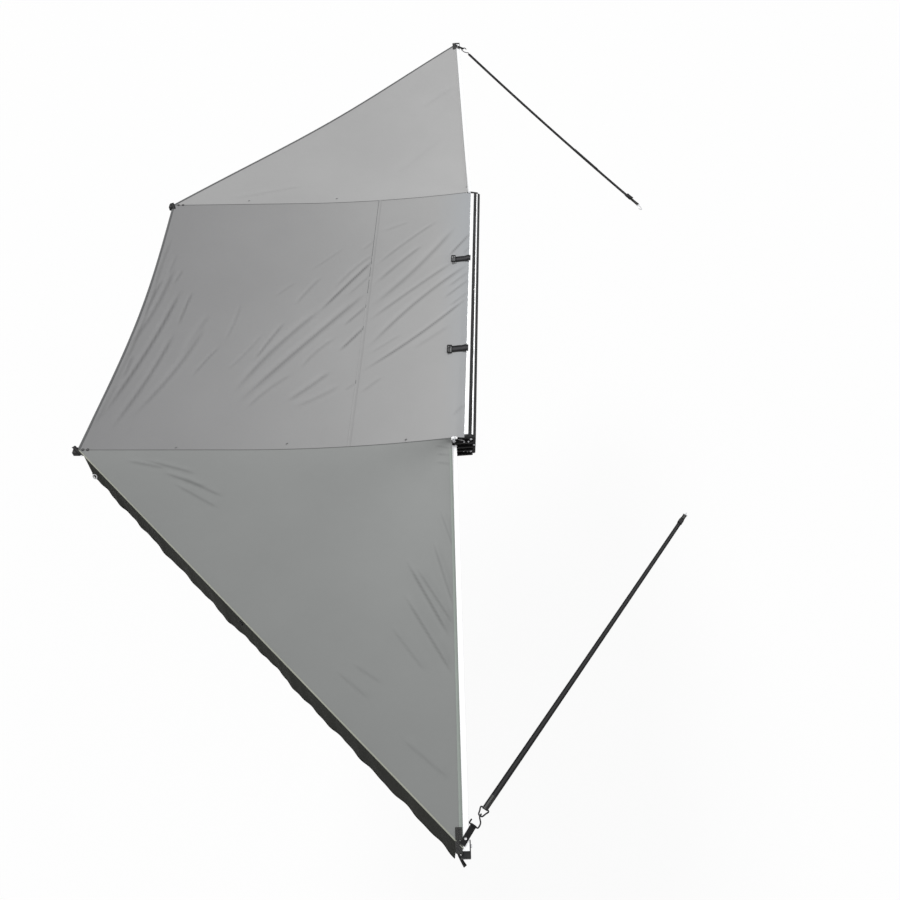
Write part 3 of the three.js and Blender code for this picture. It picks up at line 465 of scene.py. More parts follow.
def stitchGroup():
    # dashes in rows along a strap
    group, given, end = newGroup("stitchRows", [
        ("Vector", "Vector", None),
        ("Period", "Float", 0.025),
        ("Amount", "Float", 0.0),
    ], [("Mask", "Float")])
    share, split = acrossShare(group, given)
    row = chain(group, [("MULTIPLY", 2.6), ("FRACT",), ("SUBTRACT", 0.5), ("ABSOLUTE",),
                        ("LESS_THAN", 0.13)], share)
    dash = chain(group, [("DIVIDE", 0.006), ("FRACT",), ("LESS_THAN", 0.62)], split["Y"])
    both = addMath(group, "MULTIPLY", row, dash)
    feed(group, end, {"Mask": addMath(group, "MULTIPLY", both, given["Amount"])})
    return group


groups = {"cloud": cloudGroup(), "weave": weaveGroup(), "band": bandGroup(), "stitch": stitchGroup()}


def useGroup(tree, name, source, **values):
    # one of the groups, its vector fed, and its other sockets fed or set
    node = tree.nodes.new("ShaderNodeGroup")
    node.node_tree = groups[name]
    feed(tree, node, {"Vector": source})
    for key, value in values.items():
        node.inputs[key].default_value = value
    return node


def newMaterial(name, roughness, metallic=0.0, **sockets):
    material = bpy.data.materials.new(name)
    material.use_nodes = True
    tree = material.node_tree
    shader = tree.nodes["Principled BSDF"]
    shader.inputs["Roughness"].default_value = roughness
    shader.inputs["Metallic"].default_value = metallic
    for key, value in sockets.items():
        shader.inputs[key.replace("_", " ")].default_value = value
    return material, tree, shader, addNode(tree, "ShaderNodeTexCoord").outputs


def addBump(tree, shader, height, strength, distance):
    bump = addNode(tree, "ShaderNodeBump", {"Height": height}, Strength=strength, Distance=distance)
    feed(tree, shader, {"Normal": bump.outputs["Normal"]})


def addPaintedLightRamp(tree, place, cloud, fade):
    # painted light and shade: the cloth's tone ramps along one direction in plan, with its patches a little
    # darker
    along = addNode(tree, "ShaderNodeVectorMath", {0: place["Object"]}, operation="DOT_PRODUCT")
    along.inputs[1].default_value = fade["axis"]
    share = addNode(tree, "ShaderNodeMapRange", {"Value": along.outputs["Value"]},
                    From_Min=fade["from"], From_Max=fade["to"])
    ramp = addNode(tree, "ShaderNodeValToRGB", {"Fac": share.outputs["Result"]})
    steps = ramp.color_ramp.elements
    while len(steps) < len(fade["tones"]):
        steps.new(0.5)
    for step, (position, level) in zip(steps, fade["tones"]):
        step.position = position
        step.color = shade(*level)
    patch = addNode(tree, "ShaderNodeMix", data_type="RGBA", blend_type="MULTIPLY", Factor=1.0,
                    B=(0.9, 0.9, 0.9, 1))
    feed(tree, patch, {"A": ramp.outputs["Color"]})
    feed(tree, cloud, {"Tone": ramp.outputs["Color"], "Patch": patch.outputs["Result"]})


def clothMaterial(name, tone, patch, roughness=0.72, sheen=0.12, shine=0.4, fade=None):
    # plain cloth with fine weave and crumple, painted shade as dark lines in its creases, and a painted
    # light and shade ramp where one is given
    material, tree, shader, place = newMaterial(name, roughness, Sheen_Weight=sheen, Sheen_Roughness=0.4,
                                                Specular_IOR_Level=shine)
    cloud = useGroup(tree, "cloud", place["Object"], Tone=shade(*tone), Patch=shade(*patch), Scale=1.6,
                     Amount=0.55)
    if fade:
        addPaintedLightRamp(tree, place, cloud, fade)
    # painted shade: the crease valleys' lines darken the base colour towards deep
    line = addNode(tree, "ShaderNodeAttribute", attribute_name="paintedCreaseShade")
    deep = [0.42 * level for level in shade(*tone)[:3]] + [1]
    weave = useGroup(tree, "weave", place["UV"], Threads=2600.0)
    crumple = addNode(tree, "ShaderNodeTexNoise", {"Vector": place["Object"]}, Scale=9.0, Detail=6.0,
                      Roughness=0.55)
    height = addMath(tree, "MULTIPLY_ADD", crumple.outputs["Fac"], 6.0, weave.outputs["Height"])
    feed(tree, shader, {"Base Color": colorMix(tree, line.outputs["Fac"], cloud.outputs["Color"], deep)})
    addBump(tree, shader, height, 0.25, 0.0004)
    return material


def webbingMaterial(name, tone, edge, middle, width, stitches=0.0):
    # black edges and ribs, a lighter middle, and rows of stitching where it is sewn
    material, tree, shader, place = newMaterial(name, 0.85, Specular_IOR_Level=0.2)
    period = width * 1.012
    band = useGroup(tree, "band", place["UV"], Period=period)
    rows = useGroup(tree, "stitch", place["UV"], Period=period, Amount=stitches)
    weave = useGroup(tree, "weave", place["UV"], Threads=2 * math.pi / 0.0028)
    cloud = useGroup(tree, "cloud", place["Object"], Tone=shade(*tone), Patch=shade(*edge), Scale=30.0,
                     Amount=0.6)
    split = addNode(tree, "ShaderNodeSeparateXYZ", {0: place["UV"]})
    rib = addMath(tree, "SINE", addMath(tree, "MULTIPLY", split.outputs["Y"], 2 * math.pi / 0.0035))
    mask = addNode(tree, "ShaderNodeMapRange", {"Value": rib}, From_Min=0.2, From_Max=1.0)
    ribbed = colorMix(tree, mask.outputs["Result"], cloud.outputs["Color"], shade(*edge))
    lighter = colorMix(tree, band.outputs["Mask"], ribbed, shade(*middle))
    sewn = colorMix(tree, rows.outputs["Mask"], lighter, shade(118, 118, 116))
    feed(tree, shader, {"Base Color": sewn})
    addBump(tree, shader, weave.outputs["Height"], 0.6, 0.0005)
    return material


def metalMaterial(name, tone, patch, roughness, metallic, stretch=(1, 1, 1), grain=120.0, shine=0.5):
    # coated, plated or bare metal, and plastic and rubber with no metal in it
    material, tree, shader, place = newMaterial(name, roughness, metallic, Specular_IOR_Level=shine)
    spread = addNode(tree, "ShaderNodeMapping", {"Vector": place["Object"]}, Scale=stretch).outputs["Vector"]
    cloud = useGroup(tree, "cloud", spread, Tone=tone, Patch=patch, Scale=14.0, Amount=0.5)
    fine = addNode(tree, "ShaderNodeTexNoise", {"Vector": spread}, Scale=grain, Detail=4.0, Roughness=0.6)
    rough = addNode(tree, "ShaderNodeMapRange", {"Value": fine.outputs["Fac"]}, To_Min=roughness - 0.06,
                    To_Max=roughness + 0.08)
    feed(tree, shader, {"Base Color": cloud.outputs["Color"], "Roughness": rough.outputs["Result"]})
    addBump(tree, shader, fine.outputs["Fac"], 0.15, 0.0003)
    return material


def grey(level):
    return (level, level, level)


# painted light and shade: each panel's grey ramps across it as light falls on it
paintedLightRamps = {
    "front": {"axis": (1, 0, 0), "from": -2.05, "to": -0.1, "tones": [(0, grey(166)), (1, grey(176))]},
    "main": {"axis": (1, 0.06, 0), "from": -2.1, "to": -0.03,
             "tones": [(0, (132, 132, 133)), (0.9, grey(166)), (1, (166, 169, 172))]},
    "rear": {"axis": (0.5, 0.5, 0), "from": -1.6, "to": -0.8,
             "tones": [(0, (133, 135, 134)), (1, (146, 148, 147))]},
}
# frontCloth, mainCloth and rearCloth are one cloth; their different greys are painted light and shade
cloths = {
    "frontCloth": {"tone": grey(174), "patch": (166, 166, 167), "fade": paintedLightRamps["front"]},
    "mainCloth": {"tone": (156, 156, 157), "patch": (148, 148, 150), "fade": paintedLightRamps["main"]},
    "rearCloth": {"tone": (140, 142, 141), "patch": (132, 134, 134), "fade": paintedLightRamps["rear"]},
    "seamLine": {"tone": (112, 113, 113), "patch": (98, 99, 99)},
    "darkBinding": {"tone": (92, 93, 94), "patch": (76, 77, 78)},
    "palePiping": {"tone": (166, 168, 156), "patch": (150, 153, 140)},
    "hemTape": {"tone": (150, 158, 152), "patch": (136, 144, 139)},
    "tackThread": {"tone": (120, 121, 121), "patch": (98, 99, 100)},
    "blackCloth": {"tone": (34, 35, 30), "patch": (22, 22, 20), "roughness": 0.9, "sheen": 0.0,
                   "shine": 0.15},
}
webbings = {
    "webbing": {"tone": (30, 30, 31), "edge": (12, 12, 13), "middle": (54, 54, 55), "width": 0.025},
    "sewnWebbing": {"tone": (34, 34, 35), "edge": (14, 14, 15), "middle": grey(60), "width": 0.025,
                    "stitches": 0.7},
    "wideWebbing": {"tone": (34, 34, 36), "edge": (16, 16, 17), "middle": (70, 70, 72), "width": 0.050},
}
bright = {"tone": (0.93, 0.935, 0.94, 1), "patch": (0.87, 0.875, 0.885, 1), "roughness": 0.34,
          "metallic": 0.9}
metals = {
    "brightBarX": {**bright, "stretch": (0.4, 12, 12)},
    "brightBarY": {**bright, "stretch": (12, 0.4, 12)},
    "blackCoat": {"tone": shade(20, 20, 21), "patch": shade(34, 34, 35), "roughness": 0.5, "metallic": 0.0,
                  "grain": 600.0, "shine": 0.3},
    "blackWire": {"tone": shade(22, 22, 24), "patch": shade(40, 40, 42), "roughness": 0.42, "metallic": 0.3,
                  "grain": 500.0, "shine": 0.3},
    "blackPlastic": {"tone": shade(24, 24, 25), "patch": shade(34, 34, 35), "roughness": 0.6,
                     "metallic": 0.0, "grain": 900.0, "shine": 0.25},
    "zinc": {"tone": (0.72, 0.73, 0.75, 1), "patch": (0.58, 0.58, 0.6, 1), "roughness": 0.3,
             "metallic": 0.95, "grain": 300.0},
    "rubber": {"tone": shade(30, 30, 30), "patch": shade(44, 43, 42), "roughness": 0.85, "metallic": 0.0,
               "grain": 700.0, "shine": 0.2},
}
materials = {}
for make, looks in ((clothMaterial, cloths), (webbingMaterial, webbings), (metalMaterial, metals)):
    for name, look in looks.items():
        materials[name] = make(name, **look)
print("materials made")


# The four arms: their pins, open directions and levels

arms = {
    "frontWing": {"node": "front_wing", "pin": (-0.070, 1.050), "angle": 93.8, "level": 0.048},
    "frontCorner": {"node": "front_corner", "pin": (-0.070, 1.050), "angle": 183.0, "level": -0.016},
    "rearCorner": {"node": "rear_corner", "pin": (-0.114, -1.050), "angle": 181.8, "level": -0.048},
    "rearWing": {"node": "rear_wing", "pin": (-0.114, -1.050), "angle": 272.95, "level": 0.016},
}
armHeight = 0.028


def armFrame(name):
    arm = arms[name]
    return moved(*arm["pin"], arm["level"]) @ turned(arm["angle"], "Z")


def armLine(name, reach, lateral=0.0):
    # a place along an arm in plan, reach and lateral as numbers or arrays
    arm = arms[name]
    turn = math.radians(arm["angle"])
    return np.array([arm["pin"][0] + reach * math.cos(turn) - lateral * math.sin(turn),
                     arm["pin"][1] + reach * math.sin(turn) + lateral * math.cos(turn)])


# Guy straps, first because everything else is placed clear of them

guys = {
    "webWidth": 0.025,
    "webThickness": 0.0024,
    "loopX": 1.948,
    "loopReach": 0.056,
    "loopTail": 0.026,
    "loopRound": 0.0054,
    "loopBed": 0.0168,
    "sleeveStart": 1.906,
    "sleeveJoint": 1.955,
    "sleeveEnd": 2.006,
    "sleeveInner": 0.013,
    "sleeveWidth": 0.027,
    "sleeveTaper": 0.005,
    "grommetBore": 0.0055,
    "wire": 0.0026,
    "wireLook": 0.0031,
    "seatGap": 0.0003,
    "webbingGap": 0.0007,
    "ringLength": 0.041,
    "ringWidth": 0.036,
    "ringNose": 0.014,
    "hookTail": 0.020,
    "hookCorner": 0.006,
    "crookRound": 0.0061,
    "endHookEye": 0.014,
    "endHookLength": 0.046,
    "endHookOpening": 0.022,
    "foldBack": 0.085,
    "foldUnder": 0.014,
    "foldSkip": 0.002,
    "foldEase": 0.008,
    "routeSpans": 8,
    "strapSteps": 120,
    "ends": {
        "front": {"arm": "frontWing", "side": -1, "ring": False, "span": 0.066, "sag": 0.015,
                  "farEnd": (1.240, 1.866, -0.590)},
        "rear": {"arm": "rearWing", "side": 1, "ring": True, "span": 0.101, "sag": 0.012,
                 "farEnd": (1.370, -0.718, -1.092)},
    },
}
camBuckle = {
    "back": 0.1, "length": 0.052, "plate": 0.0016, "clear": 0.0004, "cheek": 0.0022, "high": 0.013,
    "leverX": 0.006, "leverLength": 0.058, "leverThick": 0.003, "tilt": 9, "ribs": 4, "ribStart": 0.012,
    "ribStep": 0.0042, "ribLength": 0.0018, "ribHigh": 0.0012,
}
foldRadius = guys["wire"] + guys["webThickness"] * 0.6
# the steps of the front strap between which it lies double
doubled = {"from": 76, "to": 93}


def frameTowards(start, end):
    x = (end - start).normalized()
    y = Vector((0, 0, 1)).cross(x).normalized()
    return framed(start, x, y, x.cross(y))


def wirePiece(name, points, look, closed=False, steps=60):
    # round wire through the points; a closed one is the middle third of three turns
    if closed:
        path = smoothRoute([*points, *points, *points], steps * 3)[steps:2 * steps]
    else:
        path = smoothRoute(points, steps)
    side = (path[1] - path[0]).orthogonal()
    return finished(sweep(name, path, roundSection(guys["wireLook"]), side, closed), look, "round")


def hookWire(crookX):
    wire, corner = guys["wire"], guys["hookCorner"]
    side = guys["webWidth"] / 2 + wire / 2
    out = side + corner
    crook = guys["crookRound"]
    return [
        (guys["hookTail"], out, 0), (corner, out, 0), (corner * 0.27, side + corner * 0.73, 0),
        (0, side, 0), (0, side * 0.6, 0), (0, 0, 0), (0, -side * 0.6, 0), (0, -side, 0),
        (corner * 0.27, -side - corner * 0.73, 0), (corner, -out, 0), (crookX * 0.5, -out * 0.85, 0),
        (crookX - crook * 1.9, -out * 0.2, 0), (crookX - crook, 0, crook * 0.3),
        (crookX - crook * 0.7, 0, crook * 0.75), (crookX, 0, crook),
        (crookX + crook * 0.7, 0, crook * 0.75), (crookX + crook, 0, 0),
        (crookX + crook * 0.85, 0, -crook * 0.6),
    ]


def ringWire():
    half, nose, length = guys["ringWidth"] / 2, guys["ringNose"] / 2, guys["ringLength"]
    return [(0, 0, 0), (0, -nose, 0), (length * 0.5, -half * 0.75, 0), (length * 0.9, -half, 0),
            (length, -half * 0.75, 0), (length, -half * 0.35, 0), (length, half * 0.35, 0),
            (length, half * 0.75, 0), (length * 0.9, half, 0), (length * 0.5, half * 0.75, 0),
            (0, nose, 0)]


def endHookWire():
    eye, length, opening = guys["endHookEye"], guys["endHookLength"], guys["endHookOpening"]
    return [(eye, 0, 0), (eye * 1.5, 0, 0), (length * 0.7, 0, 0), (length, 0, -opening * 0.2),
            (length + opening * 0.35, 0, -opening * 0.5), (length, 0, -opening * 0.85),
            (length * 0.75, 0, -opening), (length * 0.62, 0, -opening * 0.9)]


def endHookPlate(name):
    # the flat eye that the webbing is sewn round
    wire, eye = guys["wire"], guys["endHookEye"]
    half = guys["webWidth"] / 2
    columns = [0, wire * 2, eye - wire, eye + wire]
    rows = [-half - wire, -half, half, half + wire]

    def isHole(centre):
        return columns[1] < centre.x < columns[2] and abs(centre.y) < half * 0.9

    return finished(cutPlate(name, columns, rows, -wire, wire * 2, 0.0012, isHole), "zinc", "hard")


def sleevePart(name, side, start, end, taper, thick):
    bed, inner, width = guys["loopBed"], guys["sleeveInner"], guys["sleeveWidth"]
    clearSelection()
    bpy.ops.mesh.primitive_plane_add(size=1)
    sleeve = bpy.context.object
    sleeve.name = name
    for vertex in sleeve.data.vertices:
        outer = vertex.co.y > 0
        x = start if vertex.co.x < 0 else end - (taper if outer else 0)
        vertex.co = (x, -side * (inner + (width if outer else 0)), bed)
    setMode("EDIT")
    bpy.ops.mesh.select_all(action="SELECT")
    bpy.ops.mesh.subdivide(number_cuts=5)
    setMode("OBJECT")
    extrudeUp(sleeve, thick)
    bevel(sleeve, 0.0009, 2)
    return sleeve


def cornerLoop(name, turn, side):
    # a sleeve in two parts sewn to the canopy, a tab over the arm and a sewn loop at its end
    thick, width, reach = guys["webThickness"], guys["webWidth"], guys["loopReach"]
    joint, gap, steps = guys["sleeveJoint"], 0.001, 10
    taper = guys["sleeveTaper"]
    first = sleevePart(name + "First", side, guys["sleeveStart"], joint - gap, 0, thick)
    second = sleevePart(name + "Second", side, joint + gap, guys["sleeveEnd"], taper, thick * 0.8)
    path = [Vector((mixed(-guys["loopTail"], reach, k / steps), 0, 0)) for k in range(steps + 1)]
    tab = sweep(name + "Tab", path, stripSection(width, thick), (0, 1, 0))
    clearSelection()
    bpy.ops.mesh.primitive_cylinder_add(vertices=32, radius=guys["grommetBore"], depth=width)
    punch = bpy.context.object
    applyModifier(tab, "BOOLEAN", object=punch, operation="DIFFERENCE")
    bpy.data.objects.remove(punch)
    ring = [Vector((reach + x, 0, z)) for x, z in roundSection(guys["loopRound"] * 0.72, 24)]
    eye = sweep(name + "Eye", ring, stripSection(width, thick * 0.9), (0, 1, 0), True)
    spot = moved(guys["loopX"], 0, guys["loopBed"] + thick / 2) @ Matrix.Rotation(turn, 4, "Z")
    for piece in (tab, eye):
        settle(piece, spot)
    return finished(joined([first, second, tab, eye], name), "sewnWebbing")


def grommet(name, spot, inner, outer, high, look):
    piece = torus(name, inner, outer, (1, 1, high / (outer - inner)), (32, 10))
    return finished(settle(piece, moved(*spot)), look, "round")


def strapRoute(start, end, sag):
    # straight in plan, with a little sag
    points = []
    for k in range(guys["routeSpans"] + 1):
        share = k / guys["routeSpans"]
        points.append(start.lerp(end, share) - Vector((0, 0, 4 * sag * share * (1 - share))))
    return points


def strapFrames(path):
    across = Vector((0, 0, 1)).cross(path[1] - path[0])
    frames = []
    for i, point in enumerate(path):
        run = (path[min(i + 1, len(path) - 1)] - path[max(i - 1, 0)]).normalized()
        across = (across - run * across.dot(run)).normalized()
        frames.append((point, run, across, run.cross(across)))
    return frames


def sewnFold(name, path, barCentre, radius):
    # the strap's end: down its top, round a bar and a little way back underneath
    thick, turns = guys["webThickness"], 12
    frames = strapFrames(path)
    start, run, across, up = frames[0]
    lift = thick * 1.08
    over, under = [], []
    for point, here, aside, above in frames:
        gone = (point - start).length
        rise = lift + (radius - lift) * math.exp(-gone / guys["foldEase"])
        if gone < guys["foldBack"]:
            over.append(point + above * rise)
        if guys["foldSkip"] < gone < guys["foldUnder"]:
            under.append(point - above * rise)
    bend = [barCentre + up * radius * math.cos(a) - run * radius * math.sin(a)
            for a in (math.pi * k / turns for k in range(1, turns))]
    section = stripSection(guys["webWidth"] * 0.93, thick * 0.9)
    return sweptPiece(name, [*reversed(over[1:]), *bend, *under], section, "sewnWebbing", across)


def camBuckleAt(name, path):
    # two cheeks beside the webbing, a plate under it and a ribbed lever on top
    cam = camBuckle
    stop = pathLength(path) - cam["back"]
    walked, index = 0.0, 0
    while walked < stop:
        walked += (path[index + 1] - path[index]).length
        index += 1
    thin = guys["webThickness"] / 2 + cam["clear"]
    half = guys["webWidth"] / 2 + cam["clear"]
    length, high, cheek, plate = cam["length"], cam["high"], cam["cheek"], cam["plate"]
    parts = [slab((length, half * 2 + cheek * 2, plate), (0, 0, -thin - plate / 2))]
    for side in (-1, 1):
        spot = (0, side * (half + cheek / 2), high / 2 - thin - plate)
        parts.append(slab((length * 0.8, cheek, high), spot))
    lever = [slab((cam["leverLength"], half * 2 - 0.001, cam["leverThick"]))]
    for k in range(cam["ribs"]):
        spot = (cam["ribStart"] + cam["ribStep"] * k, 0, cam["leverThick"] / 2)
        lever.append(slab((cam["ribLength"], half * 1.7, cam["ribHigh"]), spot))
    tilted = moved(cam["leverX"], 0, thin + high * 0.62) @ turned(-cam["tilt"], "Y")
    parts += [settle(part, tilted) for part in lever]
    buckle = settle(joined(parts, name), framed(*strapFrames(path)[index]))
    return finished(buckle, "blackCoat", "hard")


def standsFor(piece, node):
    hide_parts(node)
    return piece


def nearHardware(label, guy, eye, start, path):
    # the S-hook in the loop, and on the rear strap a ring with the strap sewn round it
    spot = frameTowards(eye, start)
    gap = guys["webbingGap"] if guy["ring"] else guys["seatGap"]
    reach = guy["span"] - guys["wire"] - gap
    crookX = reach - (guys["ringLength"] if guy["ring"] else guys["crookRound"])
    hook = settle(wirePiece(label + "Hook", hookWire(crookX), "blackWire", steps=90), spot)
    found = [standsFor(hook, label + "_s_hook")]
    if guy["ring"]:
        ring = settle(wirePiece(label + "Ring", ringWire(), "blackWire", True), spot @ moved(crookX, 0, 0))
        axis = (start - eye).normalized()
        fold = sewnFold(label + "NearFold", path, start - axis * (guys["wire"] + gap), foldRadius)
        found += [standsFor(ring, label + "_ring"), fold]
    return found


def farHardware(label, guy, path, route):
    # the hook, its plate, the strap sewn round it, the cam buckle, and a doubled stretch on the front strap
    along = (route[-1] - route[-2]).normalized()
    farStart = route[-1] + along * guys["webbingGap"]
    spot = frameTowards(farStart, farStart + along)
    hook = settle(wirePiece(label + "EndHookWire", endHookWire(), "zinc", steps=50), spot)
    plate = settle(endHookPlate(label + "EndHookPlate"), spot)
    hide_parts(label + "_end_hook")
    fold = sewnFold(label + "FarFold", path[::-1], farStart + along * guys["wire"], foldRadius * 1.22)
    cam = camBuckleAt(label + "CamBuckle", path)
    found = [hook, plate, fold, cam]
    if not guy["ring"]:
        chosen = strapFrames(path)[doubled["from"]:doubled["to"]]
        above = [point + up * guys["webThickness"] * 1.1 for point, run, side, up in chosen]
        section = stripSection(guys["webWidth"], guys["webThickness"])
        found.append(sweptPiece(label + "DoubledStrap", above, section, "webbing", chosen[0][2]))
    for piece in found[2:]:
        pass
    return found


def makeGuy(label):
    guy = guys["ends"][label]
    arm, farEnd = guy["arm"], Vector(guy["farEnd"])
    node = arms[arm]["node"]
    over = Vector((*armLine(arm, guys["loopX"]), 0))
    heading = Vector((farEnd.x - over.x, farEnd.y - over.y, 0))
    turn = math.atan2(heading.y, heading.x) - math.radians(arms[arm]["angle"])
    loop = settle(cornerLoop(label + "WingLoop", turn, guy["side"]), armFrame(arm))
    standsFor(loop, node + "_loop")
    end = over + heading.normalized() * guys["loopReach"]
    eye = Vector((end.x, end.y, arms[arm]["level"] + guys["loopBed"] + guys["webThickness"] / 2))
    aim = farEnd - eye
    aim.z -= 4 * guy["sag"]
    start = eye + aim.normalized() * guy["span"]
    bore = guys["grommetBore"]
    eyelet = grommet(label + "LoopGrommet", (over.x, over.y, eye.z + 0.0010), bore, bore + 0.0035, 0.0026,
                     "blackPlastic")
    route = strapRoute(start, farEnd, guy["sag"])
    path = smoothRoute(route, guys["strapSteps"])
    near = nearHardware(label, guy, eye, start, path)
    section = stripSection(guys["webWidth"], guys["webThickness"])
    strap = sweptPiece(label + "GuyStrap", path, section, "webbing")
    standsFor(strap, label + "_guy_strap")
    far = farHardware(label, guy, path, route)
    for piece in [loop, eyelet, strap, *near, *far]:
        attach(piece, node)
    return {"node": node, "start": start, "axis": (farEnd - start).normalized(),
            "folded": [strap, *near[2:], *far]}


guyPieces = [makeGuy(label) for label in guys["ends"]]


# Canopy

canopy = {
    "railEdgeX": -0.0603,
    "railEdgeZ": 0.0743,
    "armTop": 0.014,
    "thickness": 0.0012,
    "lift": 0.0008,
    "gap": 0.0003,
    "seamGap": 0.0004,
    "cornerReach": 1.984,
    "apexReach": {"front": 0.0155, "rear": 0.014},
    "foldRise": 1.150,
    "apexRise": 0.014,
    "tipLift": 0.001,
    "hemFromMiddle": 0.010,
    "mainSag": 0.026,
    "mainEdgeDraw": 0.045,
    "mainCells": 220,
    "wingCells": 180,
    "seamX": -0.667,
}
folds = {
    "front": {"pinX": -0.070, "y": 1.050, "side": 1, "slope": math.tan(math.radians(3.0)),
              "top": 0.0, "levelTo": -0.0603, "notch": 0.0125, "notchWide": 0.016},
    "rear": {"pinX": -0.114, "y": -1.050, "side": -1, "slope": math.tan(math.radians(1.8)),
             "top": -0.032, "levelTo": -0.099, "notch": 0.0105, "notchWide": 0.014},
}
creaseLook = {
    "topAside": 0.45,
    "litShare": 1.15,
    "shadeShare": 0.6,
    "valleyShare": 0.3,
    "valleyAside": 1.3,
    "valleyWide": 0.75,
    # the painted shade line in each crease valley: its width and greatest darkness
    "shadeLineWide": 0.0052,
    "shadeLineMost": 0.85,
    "fadeIn": (-0.06, 0.28),
    "fadeOut": (0.82, 1.05),
    "seamFlat": 0.65,
    "seamReach": 0.022,
}

# slack folds: start, end, bow (m), half width, height (mm) and how dark the painted shade line in the valley
# is
mainCreases = [
    (-0.187, 0.417, -0.058, 0.613, 0, 12, 2, 0.8), (-0.636, 0.017, -0.16, 0.678, -0.022, 24, 4, 0.35),
    (-0.642, 0.379, -0.276, 0.766, 0.01, 12, 2.2, 0.3), (-0.633, 0.213, -0.358, 0.539, 0.006, 16, 3, 0.4),
    (-0.645, -0.106, -0.16, 0.353, 0.008, 16, 3, 0.45),
    (-0.629, -0.328, -0.061, 0.324, 0.034, 18, 3.5, 0.55), (-0.203, 0.035, -0.058, 0.178, 0, 10, 2, 0.5),
    (-0.183, 0.131, -0.06, 0.25, 0, 10, 2, 0.35), (-0.639, -0.517, -0.07, 0.009, -0.012, 14, 2.8, 0.8),
    (-0.367, -0.372, -0.162, -0.203, 0, 20, 2, 0.1), (-0.641, -0.691, -0.53, -0.577, 0, 14, 1.6, 0.2),
    (-0.168, -0.04, -0.057, 0.071, 0, 9, 1.6, 0.35), (-0.631, 0.694, -0.464, 0.777, 0, 14, 1.6, 0.1),
    (-0.124, -0.897, -0.066, -0.827, 0, 10, 1.6, 0.3), (-0.098, 0.426, -0.054, 0.487, 0, 8, 1.5, 0.4),
    (-0.619, -0.387, -0.44, -0.24, 0, 12, 1.4, 0.15), (-0.95, -0.009, -0.661, 0.427, 0.004, 14, 3.5, 1),
    (-1.349, -0.675, -0.95, -0.002, 0.028, 22, 4, 0.3), (-1.305, -0.745, -0.69, 0.125, 0.017, 24, 4.5, 0.5),
    (-0.884, 0.191, -0.661, 0.491, 0.012, 12, 2.2, 0.15), (-0.741, 0.525, -0.671, 0.612, 0, 10, 1.8, 0.1),
    (-1.053, 0.343, -0.871, 0.538, 0, 10, 1.6, 0.08), (-1.108, 0.047, -0.984, 0.278, 0.004, 12, 2.2, 0.2),
    (-1.249, 0.106, -1.139, 0.236, 0, 10, 1.4, 0.1), (-0.79, -0.138, -0.67, 0.019, 0, 12, 2.8, 0.5),
    (-0.795, -0.351, -0.664, -0.159, 0, 12, 3, 0.85), (-1.008, -0.494, -0.827, -0.237, 0.016, 14, 2, 0.2),
    (-1.043, -0.746, -0.83, -0.523, -0.002, 20, 3, 0.35),
    (-1.002, -0.787, -0.763, -0.63, -0.009, 20, 2.2, 0.15),
    (-0.732, -0.668, -0.667, -0.604, 0, 10, 1.6, 0.2),
    (-1.284, -0.435, -1.153, -0.112, 0.004, 12, 2.6, 0.4),
    (-1.425, -0.516, -1.267, -0.21, -0.008, 10, 1.8, 0.05),
    (-1.481, -0.278, -1.442, 0.03, -0.008, 10, 1.8, 0.08),
    (-1.264, -0.803, -1.048, -0.532, 0.013, 16, 2, 0.15), (-0.797, 0.117, -0.661, 0.308, 0, 10, 2, 0.2),
    (-2.034, -0.884, -1.83, 0.129, -0.019, 18, 4, 0.75),
    (-1.78, -0.16, -1.756, 0.127, 0.003, 10, 2.2, 0.55),
    (-1.959, -0.965, -1.789, -0.232, -0.017, 18, 3.5, 0.5),
    (-1.611, -0.571, -1.501, -0.323, 0.005, 10, 1.8, 0.3),
    (-1.861, -0.868, -1.621, -0.176, -0.024, 20, 3, 0.3),
    (-2.02, -0.348, -1.911, 0.339, -0.019, 18, 3.5, 0.25),
    (-1.994, -0.124, -1.964, 0.222, 0.009, 12, 2.8, 0.5),
    (-1.983, -0.027, -1.989, 0.613, 0.012, 12, 2, 0.2), (-1.884, 0.195, -1.857, 0.316, 0, 10, 2, 0.3),
    (-2.027, -0.626, -1.989, -0.04, -0.004, 12, 2.5, 0.35),
    (-2.061, -0.954, -2.016, -0.636, 0.001, 16, 2, 0.2),
    (-1.702, -0.413, -1.612, -0.055, 0.006, 20, 2, 0.05), (-1.993, -0.603, -1.986, -0.415, 0, 14, 3, 0.3),
    (-1.938, 0.261, -1.923, 0.456, 0, 10, 2, 0.1), (-0.93, 1, -0.8, 1.005, 0, 9, 2.4, 0),
]
